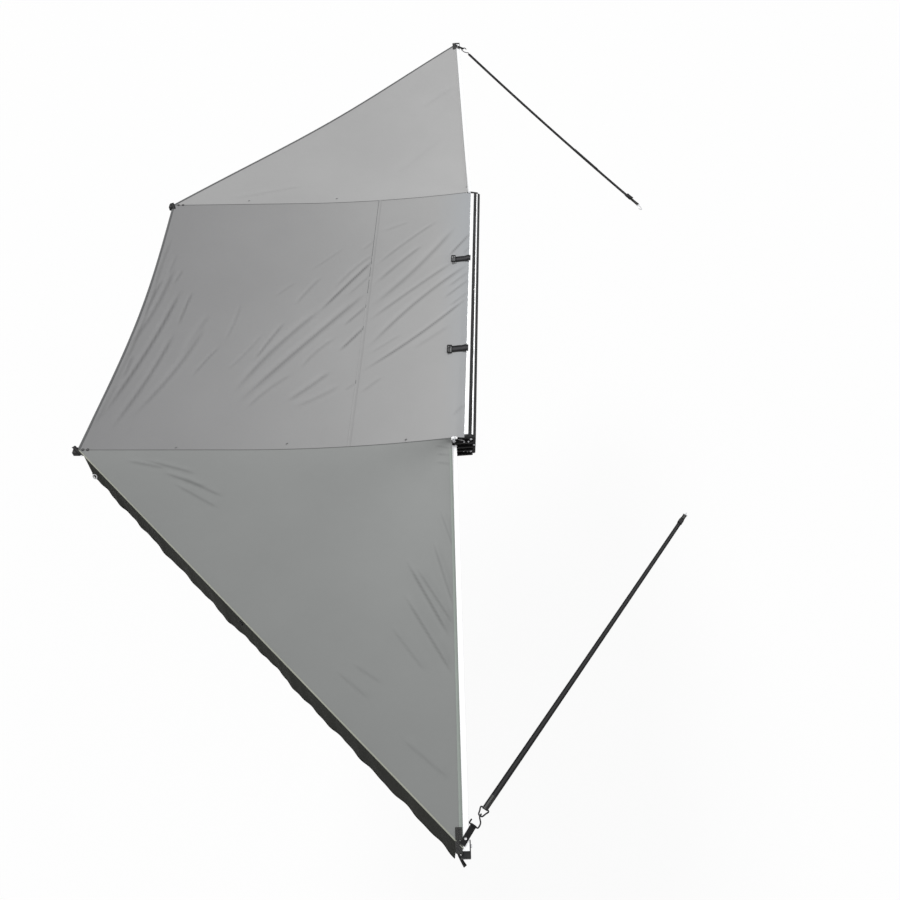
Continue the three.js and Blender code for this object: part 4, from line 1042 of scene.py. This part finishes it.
rearCreases = [
    (-1.82, -1.18, -1.62, -1.22, 0, 14, 2.7, 0.3), (-1.73, -1.17, -1.45, -1.25, 0, 14, 3, 0.34),
    (-1.61, -1.25, -1.37, -1.34, 0, 15, 3.3, 0.39), (-1.53, -1.27, -1.28, -1.39, 0, 14, 3, 0.34),
    (-1.54, -1.32, -1.29, -1.46, 0, 16, 3, 0.34), (-0.32, -1.76, -0.11, -2.14, 0, 20, 6, 0.69),
    (-0.27, -1.8, -0.09, -2.09, 0, 15, 4.5, 0.52), (-0.32, -1.94, -0.09, -2.32, 0, 20, 4.8, 0.56),
    (-0.2, -1.65, -0.09, -2, 0, 16, 3.8, 0.44), (-0.17, -1.48, -0.1, -1.69, 0, 14, 2.7, 0.3),
    (-0.59, -2.32, -0.44, -2.44, 0, 14, 2.1, 0.24), (-0.53, -2.28, -0.39, -2.37, 0, 14, 1.8, 0.21),
    (-0.37, -2.1, -0.21, -2.31, 0, 16, 2.7, 0.3), (-0.29, -2.61, -0.09, -2.77, 0, 24, 2.2, 0.25),
    (-0.21, -1.085, -0.13, -1.1, 0, 8, 2.2, 0.25), (-0.2, -1.13, -0.13, -1.145, 0, 8, 2.2, 0.25),
    (-0.2, -1.18, -0.13, -1.2, 0, 9, 1.8, 0.22),
]
frontCreases = [
    (-0.6, 1.3, -0.25, 1.75, 0, 50, 1.2, 0.04), (-1.7, 1.02, -1.2, 1.18, 0, 22, 1.1, 0.04),
    (-0.45, 2.1, -0.2, 2.4, 0, 35, 1.2, 0.04),
]


def creaseParts(x, y, creases):
    # each crease rises gently on its outboard side and drops off short into a thin valley, with a painted
    # shade line along it
    look = creaseLook
    height, line = np.zeros_like(x), np.zeros_like(x)
    flat = 1 - look["seamFlat"] * np.exp(-((x - canopy["seamX"]) / look["seamReach"]) ** 2)
    for x0, y0, x1, y1, bow, width, high, shadeDarkness in creases:
        run = np.array([x1 - x0, y1 - y0])
        length = np.linalg.norm(run)
        unit = run / length
        along = ((x - x0) * unit[0] + (y - y0) * unit[1]) / length
        aside = -(x - x0) * unit[1] + (y - y0) * unit[0] - bow * np.sin(np.pi * np.clip(along, 0, 1))
        window = smoothstep(along, *look["fadeIn"]) * (1 - smoothstep(along, *look["fadeOut"]))
        share = aside / (width / 1000) - look["topAside"]
        slope = np.where(share > 0, look["litShare"], look["shadeShare"])
        ridge = np.exp(-(share / slope) ** 2)
        valley = (share + look["valleyAside"]) / look["valleyWide"]
        ridge = ridge - look["valleyShare"] * np.exp(-valley ** 2)
        height += high / 1000 * window * flat * ridge
        line = np.maximum(line, shadeDarkness * window * np.exp(-(aside / look["shadeLineWide"]) ** 2))
    return height, line


def creaseHeight(x, y, creases):
    return creaseParts(x, y, creases)[0]


def foldHeight(fold, x):
    share = np.clip((fold["levelTo"] - x) / canopy["foldRise"], 0, 1)
    return fold["top"] + (canopy["railEdgeZ"] - fold["top"]) * (1 - share) ** 2


def foldY(fold, x):
    return fold["y"] + (x - fold["pinX"]) * fold["slope"]


def mainEdgeY(fold, x):
    # a small notch round the pin, and otherwise straight along the fold
    notch = fold["notch"] * np.exp(-((x - fold["pinX"]) / fold["notchWide"]) ** 2)
    y = np.where(x < fold["pinX"], foldY(fold, x), fold["y"])
    return y - fold["side"] * (canopy["seamGap"] / 2 + notch)


frontTip = armLine("frontCorner", canopy["cornerReach"])
rearTip = armLine("rearCorner", canopy["cornerReach"])


def mainPoint(s, t):
    # s from the front fold to the rear one, and t from the rail to the outer edge
    outer = mixed(frontTip[0], rearTip[0], s) + canopy["mainEdgeDraw"] * np.sin(np.pi * s)
    x = mixed(canopy["railEdgeX"], outer, t)
    y = mixed(mainEdgeY(folds["front"], x), mainEdgeY(folds["rear"], x), s)
    reach = np.clip((canopy["railEdgeX"] - x) / (canopy["railEdgeX"] - frontTip[0]), 0, 1)
    loose = np.sin(np.pi * s) ** 2 * np.sin(np.pi * np.minimum(1, reach * 0.8 + 0.04))
    base = mixed(foldHeight(folds["front"], x), foldHeight(folds["rear"], x), s)
    rim = smoothstep(reach, 0, 0.03) * smoothstep(s, 0, 0.05) * (1 - smoothstep(s, 0.95, 1))
    z = base - canopy["mainSag"] * loose + creaseHeight(x, y, mainCreases) * rim
    return np.stack([x, y, z], axis=-1)


wingPanels = {
    "front": {"corner": "frontCorner", "wing": "frontWing", "sag": 0.022, "edgeDraw": 0.042,
              "creases": frontCreases},
    "rear": {"corner": "rearCorner", "wing": "rearWing", "sag": 0.026, "edgeDraw": 0.003,
             "creases": rearCreases},
}


def wingPoint(label, across, out):
    # across from the corner arm to the wing arm, and out from the pin to the outer edge
    panel, side = wingPanels[label], folds[label]["side"]
    pin, wing = arms[panel["corner"]]["pin"], arms[panel["wing"]]
    across, out = np.broadcast_arrays(np.asarray(across, float), np.asarray(out, float))
    reach = mixed(canopy["apexReach"][label], canopy["cornerReach"], out)
    ax, ay = armLine(panel["corner"], reach, -side * canopy["seamGap"] / 2)
    bx, by = armLine(panel["wing"], reach, side * canopy["hemFromMiddle"])
    x, y = mixed(ax, bx, across), mixed(ay, by, across)
    pull = panel["edgeDraw"] * np.sin(np.pi * across) * out ** 2
    dx, dy = pin[0] - x, pin[1] - y
    away = np.maximum(np.hypot(dx, dy), 1e-6)
    x, y = x + dx / away * pull, y + dy / away * pull
    wingTop = wing["level"] + canopy["armTop"] + canopy["thickness"] + canopy["gap"]
    wingZ = wingTop + canopy["apexRise"] * (1 - out) ** 6 + canopy["tipLift"] * smoothstep(out, 0.8, 0.9)
    loose = np.sin(np.pi * across) ** 2 * np.sin(np.pi * np.minimum(1, out * 0.75 + 0.05))
    rim = smoothstep(across, 0, 0.06) * (1 - smoothstep(across, 0.95, 1)) * smoothstep(out, 0.02, 0.1)
    z = mixed(foldHeight(folds[label], ax), wingZ, across) - panel["sag"] * loose
    z = z + creaseHeight(x, y, panel["creases"]) * rim
    return np.stack([x, y, z], axis=-1)


def clothSheet(name, pointAt, cellsA, cellsB, look, creases=()):
    # a grid of points on a surface, with its painted crease shade lines as an attribute and a thickness
    # below
    gridA, gridB = np.meshgrid(np.linspace(0, 1, cellsA + 1), np.linspace(0, 1, cellsB + 1))
    points = pointAt(gridA, gridB).reshape(-1, 3)
    columns = cellsA + 1
    base = (np.arange(cellsB)[:, None] * columns + np.arange(cellsA)[None, :]).ravel()
    faces = np.stack([base, base + 1, base + columns + 1, base + columns], axis=1)
    first = points[faces[len(faces) // 2]]
    if np.cross(first[1] - first[0], first[2] - first[0])[2] < 0:
        faces = faces[:, ::-1]
    piece = meshFrom(name, points, faces.tolist(), points[:, :2])
    # painted shade along the crease valleys, kept as a point attribute
    line = creaseParts(points[:, 0], points[:, 1], creases)[1] * creaseLook["shadeLineMost"]
    mask = piece.data.attributes.new("paintedCreaseShade", "FLOAT", "POINT")
    mask.data.foreach_set("value", line.astype(np.float32))
    applyModifier(piece, "SOLIDIFY", thickness=canopy["thickness"], offset=-1.0)
    return finished(piece, look, "round")


mainPanel = clothSheet("mainPanel", mainPoint, canopy["mainCells"], canopy["mainCells"], "mainCloth",
                       mainCreases)
standsFor(mainPanel, "canopy_main_panel")
sidePanels = {}
for label, panel in wingPanels.items():
    sidePanels[label] = clothSheet(
        label + "Panel", lambda a, o: wingPoint(label, a, o), canopy["wingCells"], canopy["wingCells"],
        label + "Cloth", panel["creases"])
    standsFor(sidePanels[label], f"canopy_{label}_panel")
frontPanel, rearPanel = sidePanels["front"], sidePanels["rear"]
print("canopy panels made")


# Bands, bindings and piping that follow the panels' edges

trim = {
    "bindingWidth": 0.014,
    "bindingThickness": 0.0034,
    "pipingRadius": 0.0032,
    "bandWidth": 0.022,
    "bandThickness": 0.0016,
    "lineWidth": 0.0035,
    "lineThickness": 0.0008,
    "hemWidth": 0.013,
    "hemInset": 0.0075,
    "edgeSteps": 160,
    "seamSteps": 200,
    "valanceSteps": 300,
}
bindingSection = stripSection(trim["bindingWidth"], trim["bindingThickness"], "flat")
bandSection = stripSection(trim["bandWidth"], trim["bandThickness"], "flat")
lineSection = stripSection(trim["lineWidth"], trim["lineThickness"], "flat")
hemSection = stripSection(trim["hemWidth"], trim["bandThickness"], "flat")


def trimPiece(name, pointAt, section, look, lift=0.0, steps=trim["edgeSteps"], shift=(0, 0, 0)):
    # a strip or cord along a line on the cloth
    points = pointAt(np.linspace(0, 1, steps + 1))
    path = [Vector(point) + Vector((0, 0, lift)) + Vector(shift) for point in points]
    return sweptPiece(name, path, section, look)


def outerEdge(label):
    return lambda a: wingPoint(label, a, np.ones_like(a))


def mainOuterEdge(a):
    return mainPoint(a, np.ones_like(a))


def seamAt(x):
    # the main panel's points along a line parallel to the rail
    def point(a):
        outer = mixed(frontTip[0], rearTip[0], a) + canopy["mainEdgeDraw"] * np.sin(np.pi * a)
        return mainPoint(a, (canopy["railEdgeX"] - x) / (canopy["railEdgeX"] - outer))
    return point


frontBinding = trimPiece("frontEdgeBinding", outerEdge("front"), bindingSection, "darkBinding", -0.0006)
mainBinding = trimPiece("mainEdgeBinding", mainOuterEdge, bindingSection, "darkBinding", -0.0006)
rearPiping = trimPiece("rearEdgePiping", outerEdge("rear"), roundSection(trim["pipingRadius"], 10),
                       "palePiping", -0.0004)
seamBand = trimPiece("mainSeamBand", seamAt(canopy["seamX"]), bandSection, "mainCloth", 0.0004,
                     trim["seamSteps"])
seamStitch = trimPiece("mainSeamStitch", seamAt(canopy["seamX"] - trim["bandWidth"] * 0.4), lineSection,
                       "seamLine", 0.0016, trim["seamSteps"])
foldSeams, hems = {}, {}
for label, panel in wingPanels.items():
    foldSeams[label] = trimPiece(label + "FoldSeam", lambda o: wingPoint(label, 0 * o, o), lineSection,
                                 "seamLine", 0.0007)
    turn = math.radians(arms[panel["wing"]]["angle"])
    inward = Vector((-math.sin(turn), math.cos(turn), 0)) * folds[label]["side"] * trim["hemInset"]
    hems[label] = trimPiece(label + "ArmHem", lambda o: wingPoint(label, 0 * o + 1, 0.02 + 0.975 * o),
                            hemSection, "hemTape" if label == "rear" else "frontCloth", 0.0008, shift=inward)


# Small tacks through the cloth where loops underneath hold it to the corner arms

tack = {"size": (0.013, 0.0055, 0.0016), "round": 0.45, "turn": 35, "near": 0.012}
tackPlaces = {
    "frontPanel": [(-1.555, 1.008), (-0.965, 1.046)],
    "mainPanel": [(-1.586, -1.082), (-1.001, -1.041), (-0.367, -1.040)],
}


def surfaceHeight(piece, x, y):
    points = np.empty(len(piece.data.vertices) * 3)
    piece.data.vertices.foreach_get("co", points)
    points = points.reshape(-1, 3)
    around = np.hypot(points[:, 0] - x, points[:, 1] - y) < tack["near"]
    return float(points[around, 2].max())


def makeTack(name, owner, x, y):
    high = tack["size"][2]
    piece = slab(tack["size"], edge=high * tack["round"])
    piece.name = name
    setMode("EDIT")
    bpy.ops.mesh.select_all(action="SELECT")
    bpy.ops.mesh.subdivide(number_cuts=1)
    setMode("OBJECT")
    settle(piece, moved(x, y, surfaceHeight(owner, x, y) + high / 2) @ turned(tack["turn"], "Z"))
    return finished(piece, "tackThread", "round")


tacks = {}
for owner in (frontPanel, mainPanel):
    tacks[owner.name] = [makeTack(f"{owner.name}Tack{k + 1}", owner, x, y)
                         for k, (x, y) in enumerate(tackPlaces[owner.name])]


# Webbing tabs over the corner arms' tips and the eyelets beside them

cornerTabs = {
    "frontCorner": {"from": (-2.076, 0.983), "to": (-2.034, 0.892), "width": 0.024, "drop": 0.014,
                    "eyelets": (1.953, 1.923)},
    "rearCorner": {"from": (-2.136, -1.086), "to": (-2.078, -1.139), "width": 0.020, "drop": 0.010,
                   "eyelets": (1.962, 1.936)},
}
tabSteps = 24


def makeCornerTab(name, top, tab):
    start, end = Vector((*tab["from"], top)), Vector((*tab["to"], top))
    path = []
    for share in (k / tabSteps for k in range(tabSteps + 1)):
        fall = tab["drop"] * (abs(2 * share - 1) ** 4)
        path.append(start.lerp(end, share) - Vector((0, 0, fall)))
    return sweptPiece(name, path, stripSection(tab["width"], guys["webThickness"]), "webbing")


cornerPieces = {}
for arm, tab in cornerTabs.items():
    clothTop = arms[arm]["level"] + armHeight / 2 + canopy["lift"] + canopy["thickness"]
    cornerPieces[arm] = [makeCornerTab(arm + "Tab", clothTop + guys["webThickness"] * 0.6, tab)]
    for k, reach in enumerate(tab["eyelets"]):
        cornerPieces[arm].append(grommet(f"{arm}Eyelet{k + 1}", (*armLine(arm, reach), clothTop + 0.0012),
                                         0.0038, 0.0085, 0.0024, "blackWire"))


# Valance

valance = {
    "drop": 0.250,
    "dropShares": [0.62, 0.8, 0.84, 0.98, 0.85, 0.86, 0.96, 0.87, 0.95],
    "wave": {"deep": 0.004, "count": 5},
    "flutter": {"deep": 0.003, "count": 12, "sway": 1.7, "swayCount": 7},
    "pleat": {"deep": 0.0015, "count": 29, "sway": 3.0, "swayCount": 11},
    "cornerInset": 0.052,
    "wingInset": 0.036,
    "tangentStep": 0.01,
    "cellsLong": 300,
    "cellsDrop": 18,
    "hemRadius": 0.0024,
}


def valanceEdge(share):
    length = canopy["cornerReach"] * math.sqrt(2)
    across = mixed(valance["cornerInset"] / length, 1 - valance["wingInset"] / length, share)
    return wingPoint("rear", across, np.ones_like(across))


def valanceDropAt(share):
    shares = np.array(valance["dropShares"])
    spot = share * (len(shares) - 1)
    index = np.minimum(np.floor(spot).astype(int), len(shares) - 2)
    return valance["drop"] * mixed(shares[index], shares[index + 1], smoothstep(spot - index, 0, 1))


def swaying(wave, share):
    # a row of folds that aren't evenly spaced
    sway = wave["sway"] * np.sin(wave["swayCount"] * share)
    return wave["deep"] * np.sin(2 * np.pi * wave["count"] * share + sway)


def valancePoint(share, drop):
    ahead = valanceEdge(np.minimum(1, share + valance["tangentStep"]))
    behind = valanceEdge(np.maximum(0, share - valance["tangentStep"]))
    run = ahead - behind
    out = np.stack([run[..., 1], -run[..., 0], np.zeros_like(share)], axis=-1)
    out /= np.linalg.norm(out, axis=-1, keepdims=True)
    deep = valance["wave"]["deep"] * drop
    wave = deep * np.sin(2 * np.pi * valance["wave"]["count"] * share) * np.sin(np.pi * share)
    folded = swaying(valance["flutter"], share) * drop + swaying(valance["pleat"], share) * np.sqrt(drop)
    outward = canopy["gap"] + canopy["thickness"] + deep + wave + folded
    point = valanceEdge(share) + out * outward[..., None]
    point[..., 2] -= valanceDropAt(share) * drop
    return point


rearValance = clothSheet("rearValanceCloth", valancePoint, valance["cellsLong"], valance["cellsDrop"],
                         "blackCloth")
standsFor(rearValance, "rear_valance")
hemLine = trimPiece("valanceHem", lambda a: valancePoint(a, np.ones_like(a)),
                    roundSection(valance["hemRadius"], 8), "blackCloth", steps=trim["valanceSteps"])

ovalRing = {"place": (-2.006, -1.222, -0.118), "length": 0.032, "width": 0.025, "wire": 0.0030, "turn": 45,
            "tilt": 40}
# the toggle's outline is its places along and its radii, as shares of its length and radius
toggle = {"share": 0.5, "down": 0.1, "length": 0.024, "radius": 0.0065, "sides": 20,
          "outline": [(0, 0.2), (0.03, 0.8), (0.12, 1.0), (0.22, 0.75), (0.4, 0.7), (0.5, 1.0), (0.6, 0.7),
                      (0.78, 0.75), (0.88, 1.0), (0.97, 0.8), (1, 0.2)]}


def makeOvalRing():
    outer, wire = ovalRing["width"] / 2, ovalRing["wire"]
    stretch = (1, ovalRing["length"] / ovalRing["width"], 1)
    ring = torus("valanceRing", outer - 2 * wire, outer, stretch, (40, 12))
    upright = turned(ovalRing["turn"], "Z") @ turned(ovalRing["tilt"], "X")
    return finished(settle(ring, moved(*ovalRing["place"]) @ upright), "zinc", "round")


def makeToggle():
    # a turned toggle: three collars on a barrel, lying along the valance's top
    down = np.array([toggle["down"]])
    point, nearby = (Vector(valancePoint(np.array([toggle["share"] + step]), down)[0]) for step in (0, 0.01))
    run = (nearby - point).normalized()
    out = Vector((run.y, -run.x, 0)).normalized()
    points = []
    for share, wide in toggle["outline"]:
        centre = point + out * (toggle["radius"] * 1.6) + run * (toggle["length"] * (share - 0.5))
        for aside, above in roundSection(toggle["radius"] * wide, toggle["sides"]):
            points.append(centre + out * aside + Vector((0, 0, above)))
    piece = meshFrom("valanceToggle", points, ringFaces(len(toggle["outline"]), toggle["sides"]))
    normalsOut(piece)
    return finished(piece, "blackPlastic")


valanceRing = makeOvalRing()
valanceToggle = makeToggle()
print("valance made")


# Hold-down straps beside the rail

holdDown = {
    "ys": {"front": 0.375, "rear": -0.403},
    "width": 0.050,
    "length": 0.092,
    "thickness": 0.002,
    "steps": 30,
    "startX": -0.052,
    "railTop": 0.0783,
    "settles": (0.013, 0.040),
    "buckleLength": 0.028,
    "buckleWidth": 0.060,
    "buckleHeight": 0.007,
    "buckleBar": 0.006,
    "middleBar": 0.003,
}


def panelHeight(x, y):
    # the height of the main panel's own surface under a point
    if x > canopy["railEdgeX"]:
        return canopy["railEdgeZ"]
    front, rear = mainEdgeY(folds["front"], np.array(x)), mainEdgeY(folds["rear"], np.array(x))
    return float(seamAt(x)(np.array(float((front - y) / (front - rear))))[2])


def holdDownPath(y):
    path = []
    for k in range(holdDown["steps"] + 1):
        x = holdDown["startX"] - holdDown["length"] * k / holdDown["steps"]
        across = [panelHeight(x, y + holdDown["width"] * side) for side in (-0.5, -0.25, 0, 0.25, 0.5)]
        bed = max(across) + canopy["lift"] + holdDown["thickness"] / 2
        share = float(smoothstep(holdDown["startX"] - x, *holdDown["settles"]))
        high = mixed(holdDown["railTop"] + canopy["gap"] + holdDown["thickness"] / 2, bed, share)
        path.append(Vector((x, y, max(bed, high))))
    return path


def frameBuckle(name):
    # a flat frame with a middle bar
    length, middle, bar = holdDown["buckleLength"], holdDown["middleBar"], holdDown["buckleBar"]
    bars = [0, bar / 2, length / 2 - middle / 2, length / 2 + middle / 2, length - bar, length]
    half, inner = holdDown["buckleWidth"] / 2, holdDown["width"] / 2

    def isHole(centre):
        column = sum(-centre.x > line for line in bars) - 1
        return column in (1, 3) and abs(centre.y) < inner * 0.9

    columns, rows = [-line for line in bars], [-half, -inner, inner, half]
    piece = cutPlate(name, columns, rows, 0, holdDown["buckleHeight"], 0.0014, isHole)
    return finished(piece, "blackPlastic", "hard")


holdDownPieces = []
for label, y in holdDown["ys"].items():
    path = holdDownPath(y)
    strap = sweptPiece(label + "HoldDownStrap", path, stripSection(holdDown["width"], holdDown["thickness"]),
                       "wideWebbing", (0, 1, 0))
    standsFor(strap, label + "_hold_down_strap")
    low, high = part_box(label + "_hold_down_buckle")
    buckle = settle(frameBuckle(label + "HoldDownBuckle"), moved(high.x, y, low.z))
    standsFor(buckle, label + "_hold_down_buckle")
    holdDownPieces.extend([strap, buckle])
print("hold-down straps made")


# Black fittings at the arms' ends

tip = {"start": 1.951, "noseStart": 1.9923, "end": 2.016, "inner": 0.0153, "outer": 0.0188, "half": 0.014,
       "edge": 0.0016, "inset": 0.003, "sink": -0.0012, "least": 1e-4}


def armTip(name):
    # a U seen from above, pulled up, bevelled, its nose inset
    columns = [tip["start"], tip["noseStart"], tip["end"]]
    rows = [-tip["outer"], -tip["inner"], tip["inner"], tip["outer"]]

    def isHole(centre):
        return centre.x < tip["noseStart"] and abs(centre.y) < tip["inner"]

    def isNose(face):
        return face.normal.z > 0.9 and face.center.x > tip["noseStart"] and face.area > tip["least"]

    piece = cutPlate(name, columns, rows, -tip["half"], tip["half"] * 2, tip["edge"], isHole)
    insetFaces(piece, isNose, tip["inset"], tip["sink"])
    return finished(piece, "blackPlastic", "hard")


for name, arm in arms.items():
    piece = settle(armTip(name + "Tip"), armFrame(name))
    standsFor(piece, arm["node"] + "_tip")
    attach(piece, arm["node"])
print("arm tips made")


# Bright parts on the rear bracket: the pin's cap, a clip beside it and further bolt heads

bracketBits = {
    "cap": {"place": (-0.114, -1.050, 0.0446), "high": 0.0264, "radius": 0.0088},
    "clip": {"place": (-0.080, -1.0395, 0.0402), "size": (0.043, 0.0062, 0.0050), "turn": -11.8},
    "bolt": {"high": 0.0042, "radius": 0.0048},
    "bolts": [(-0.009, -1.040, 0.004), (-0.063, -1.036, -0.063), (-0.042, -1.036, -0.063)],
    "rivets": [(-0.0385, -1.0495, 0.038), (-0.061, -1.052, 0.038)],
}


def roundHead(name, size, matrix):
    # a short cylinder, its rim bevelled and its top inset
    radius, high = size["radius"], size["high"]
    clearSelection()
    bpy.ops.mesh.primitive_cylinder_add(vertices=32, radius=radius, depth=high, location=(0, 0, high / 2))
    piece = bpy.context.object
    piece.name = name
    insetFaces(piece, lambda face: face.normal.z > 0.9, radius * 0.35, radius * 0.12)
    bevel(piece, radius * 0.12)
    return finished(settle(piece, matrix), "zinc", "hard")


def makeBracketBits():
    cap, clip, bolt = bracketBits["cap"], bracketBits["clip"], bracketBits["bolt"]
    made = [roundHead("rearPinCap", cap, moved(*cap["place"]))]
    bright = slab(clip["size"])
    bright.name = "rearPinClip"
    settle(bright, moved(*clip["place"]) @ turned(clip["turn"], "Z"))
    made.append(finished(bright, "brightBarX", "hard"))
    for k, spot in enumerate(bracketBits["rivets"]):
        made.append(roundHead(f"rearRivet{k + 1}", bolt, moved(*spot)))
    for k, spot in enumerate(bracketBits["bolts"]):
        made.append(roundHead(f"rearSmallBolt{k + 1}", bolt, moved(*spot) @ turned(90, "X")))
    for piece in made:
        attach(piece, "base")


makeBracketBits()
print("bracket parts made")


# A loose webbing tail at the rear wing tip, sewn under the canopy's corner

rearTail = {"from": (-0.047, -3.028, -0.010), "to": (-0.012, -3.070, -0.080), "wide": 0.015, "narrow": 0.62,
            "bends": [(0.35, 0.010), (0.7, 0.008)], "steps": 24}


def makeTail():
    start, end = Vector(rearTail["from"]), Vector(rearTail["to"])
    middle = [start.lerp(end, share) - Vector((0, 0, fall)) for share, fall in rearTail["bends"]]
    piece = sweptPiece("rearTipTail", smoothRoute([start, *middle, end], rearTail["steps"]),
                       stripSection(rearTail["wide"], guys["webThickness"] * 0.8), "webbing",
                       wide=lambda share: mixed(rearTail["narrow"], 1, share))
    return piece


tail = makeTail()


# Bodies


def foldOnto(arm, pieces):
    # cloth beside a corner arm is attached to that arm's body, with a mesh of its own
    node = arms[arm]["node"]
    for piece in pieces:
        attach(piece, node)
        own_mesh(piece)


foldOnto("frontCorner", [frontPanel, frontBinding, hems["front"], foldSeams["front"], *tacks["frontPanel"],
                         *cornerPieces["frontCorner"]])
foldOnto("rearCorner", [rearPanel, rearPiping, hems["rear"], foldSeams["rear"], *cornerPieces["rearCorner"],
                        rearValance, hemLine, valanceRing, valanceToggle])
for piece in [mainPanel, mainBinding, seamBand, seamStitch, *tacks["mainPanel"]]:
    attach(piece, "base")
    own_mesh(piece)
for guy in guyPieces:
    for piece in guy["folded"]:
        tuple(guy["axis"])
        tuple(guy["start"])
        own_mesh(piece)
for piece in holdDownPieces:
    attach(piece, "base")
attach(tail, "rear_wing")

for arm, pieces in cornerPieces.items():
    tab = cornerTabs[arm]


# Materials of the solids that stay

solidLooks = {
    "back_channel": "blackCoat", "canopy_rail": "brightBarY", "cover_rail": "brightBarY",
    "bracket": "blackCoat", "pin": "zinc", "bolt": "zinc", "hub": "blackCoat", "foot": "rubber",
    "collar": "blackPlastic", "wing_arm": "brightBarY", "corner_arm": "brightBarX",
    "wing_leg_tube": "brightBarY", "corner_leg_tube": "brightBarX",
    "wing_leg_extension": "brightBarY", "corner_leg_extension": "brightBarX",
}
for nodeName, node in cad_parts.items():
    for ending, look in solidLooks.items():
        if ending in nodeName and not node.hide_render:
            paint(node, materials[look])


# Floor, light and background

stageSet = {
    "floorZ": -2.1,
    "floorSize": 60,
    "floorTone": 0.93,
    "whiteShare": 0.93,
    "worldLight": 0.52,
    "sunStrength": 2.0,
    "sunAngle": 14,
    "sunTurn": (50, 0, 220),
}


def addRays(tree, *kinds):
    # 1 for a ray of one of the kinds
    rays = addNode(tree, "ShaderNodeLightPath").outputs
    found = rays[kinds[0]]
    for kind in kinds[1:]:
        found = addMath(tree, "MAXIMUM", found, rays[kind])
    return found


def makeFloor():
    clearSelection()
    bpy.ops.mesh.primitive_plane_add(size=stageSet["floorSize"], location=(0, 0, stageSet["floorZ"]))
    floor = bpy.context.object
    floor.name = "floor"
    material, tree, shader, _ = newMaterial("floorPaper", 0.9)
    shader.inputs["Base Color"].default_value = (*[stageSet["floorTone"]] * 3, 1)
    glow = addNode(tree, "ShaderNodeEmission", Strength=1.0)
    seen = addMath(tree, "MULTIPLY", addRays(tree, "Is Camera Ray"), stageSet["whiteShare"])
    mix = addNode(tree, "ShaderNodeMixShader", {0: seen, 1: shader.outputs[0], 2: glow.outputs[0]})
    feed(tree, tree.nodes["Material Output"], {"Surface": mix.outputs[0]})
    paint(floor, material)


def makeSun():
    sun = bpy.data.lights.new("key", "SUN")
    sun.energy = stageSet["sunStrength"]
    sun.angle = math.radians(stageSet["sunAngle"])
    lamp = bpy.data.objects.new("key", sun)
    lamp.rotation_euler = [math.radians(v) for v in stageSet["sunTurn"]]
    bpy.context.scene.collection.objects.link(lamp)


def makeWorld():
    world = bpy.data.worlds.new("studio")
    bpy.context.scene.world = world
    world.use_nodes = True
    tree = world.node_tree
    white = (1, 1, 1, 1)
    soft = tree.nodes["Background"]
    soft.inputs["Color"].default_value = white
    soft.inputs["Strength"].default_value = stageSet["worldLight"]
    pure = addNode(tree, "ShaderNodeBackground", Strength=1.0, Color=white)
    seen = addRays(tree, "Is Camera Ray", "Is Glossy Ray", "Is Transmission Ray")
    mix = addNode(tree, "ShaderNodeMixShader", {0: seen, 1: soft.outputs[0], 2: pure.outputs[0]})
    feed(tree, tree.nodes["World Output"], {"Surface": mix.outputs[0]})


makeFloor()
makeSun()
makeWorld()
bpy.context.scene.view_settings.view_transform = "Standard"
print("stage made")
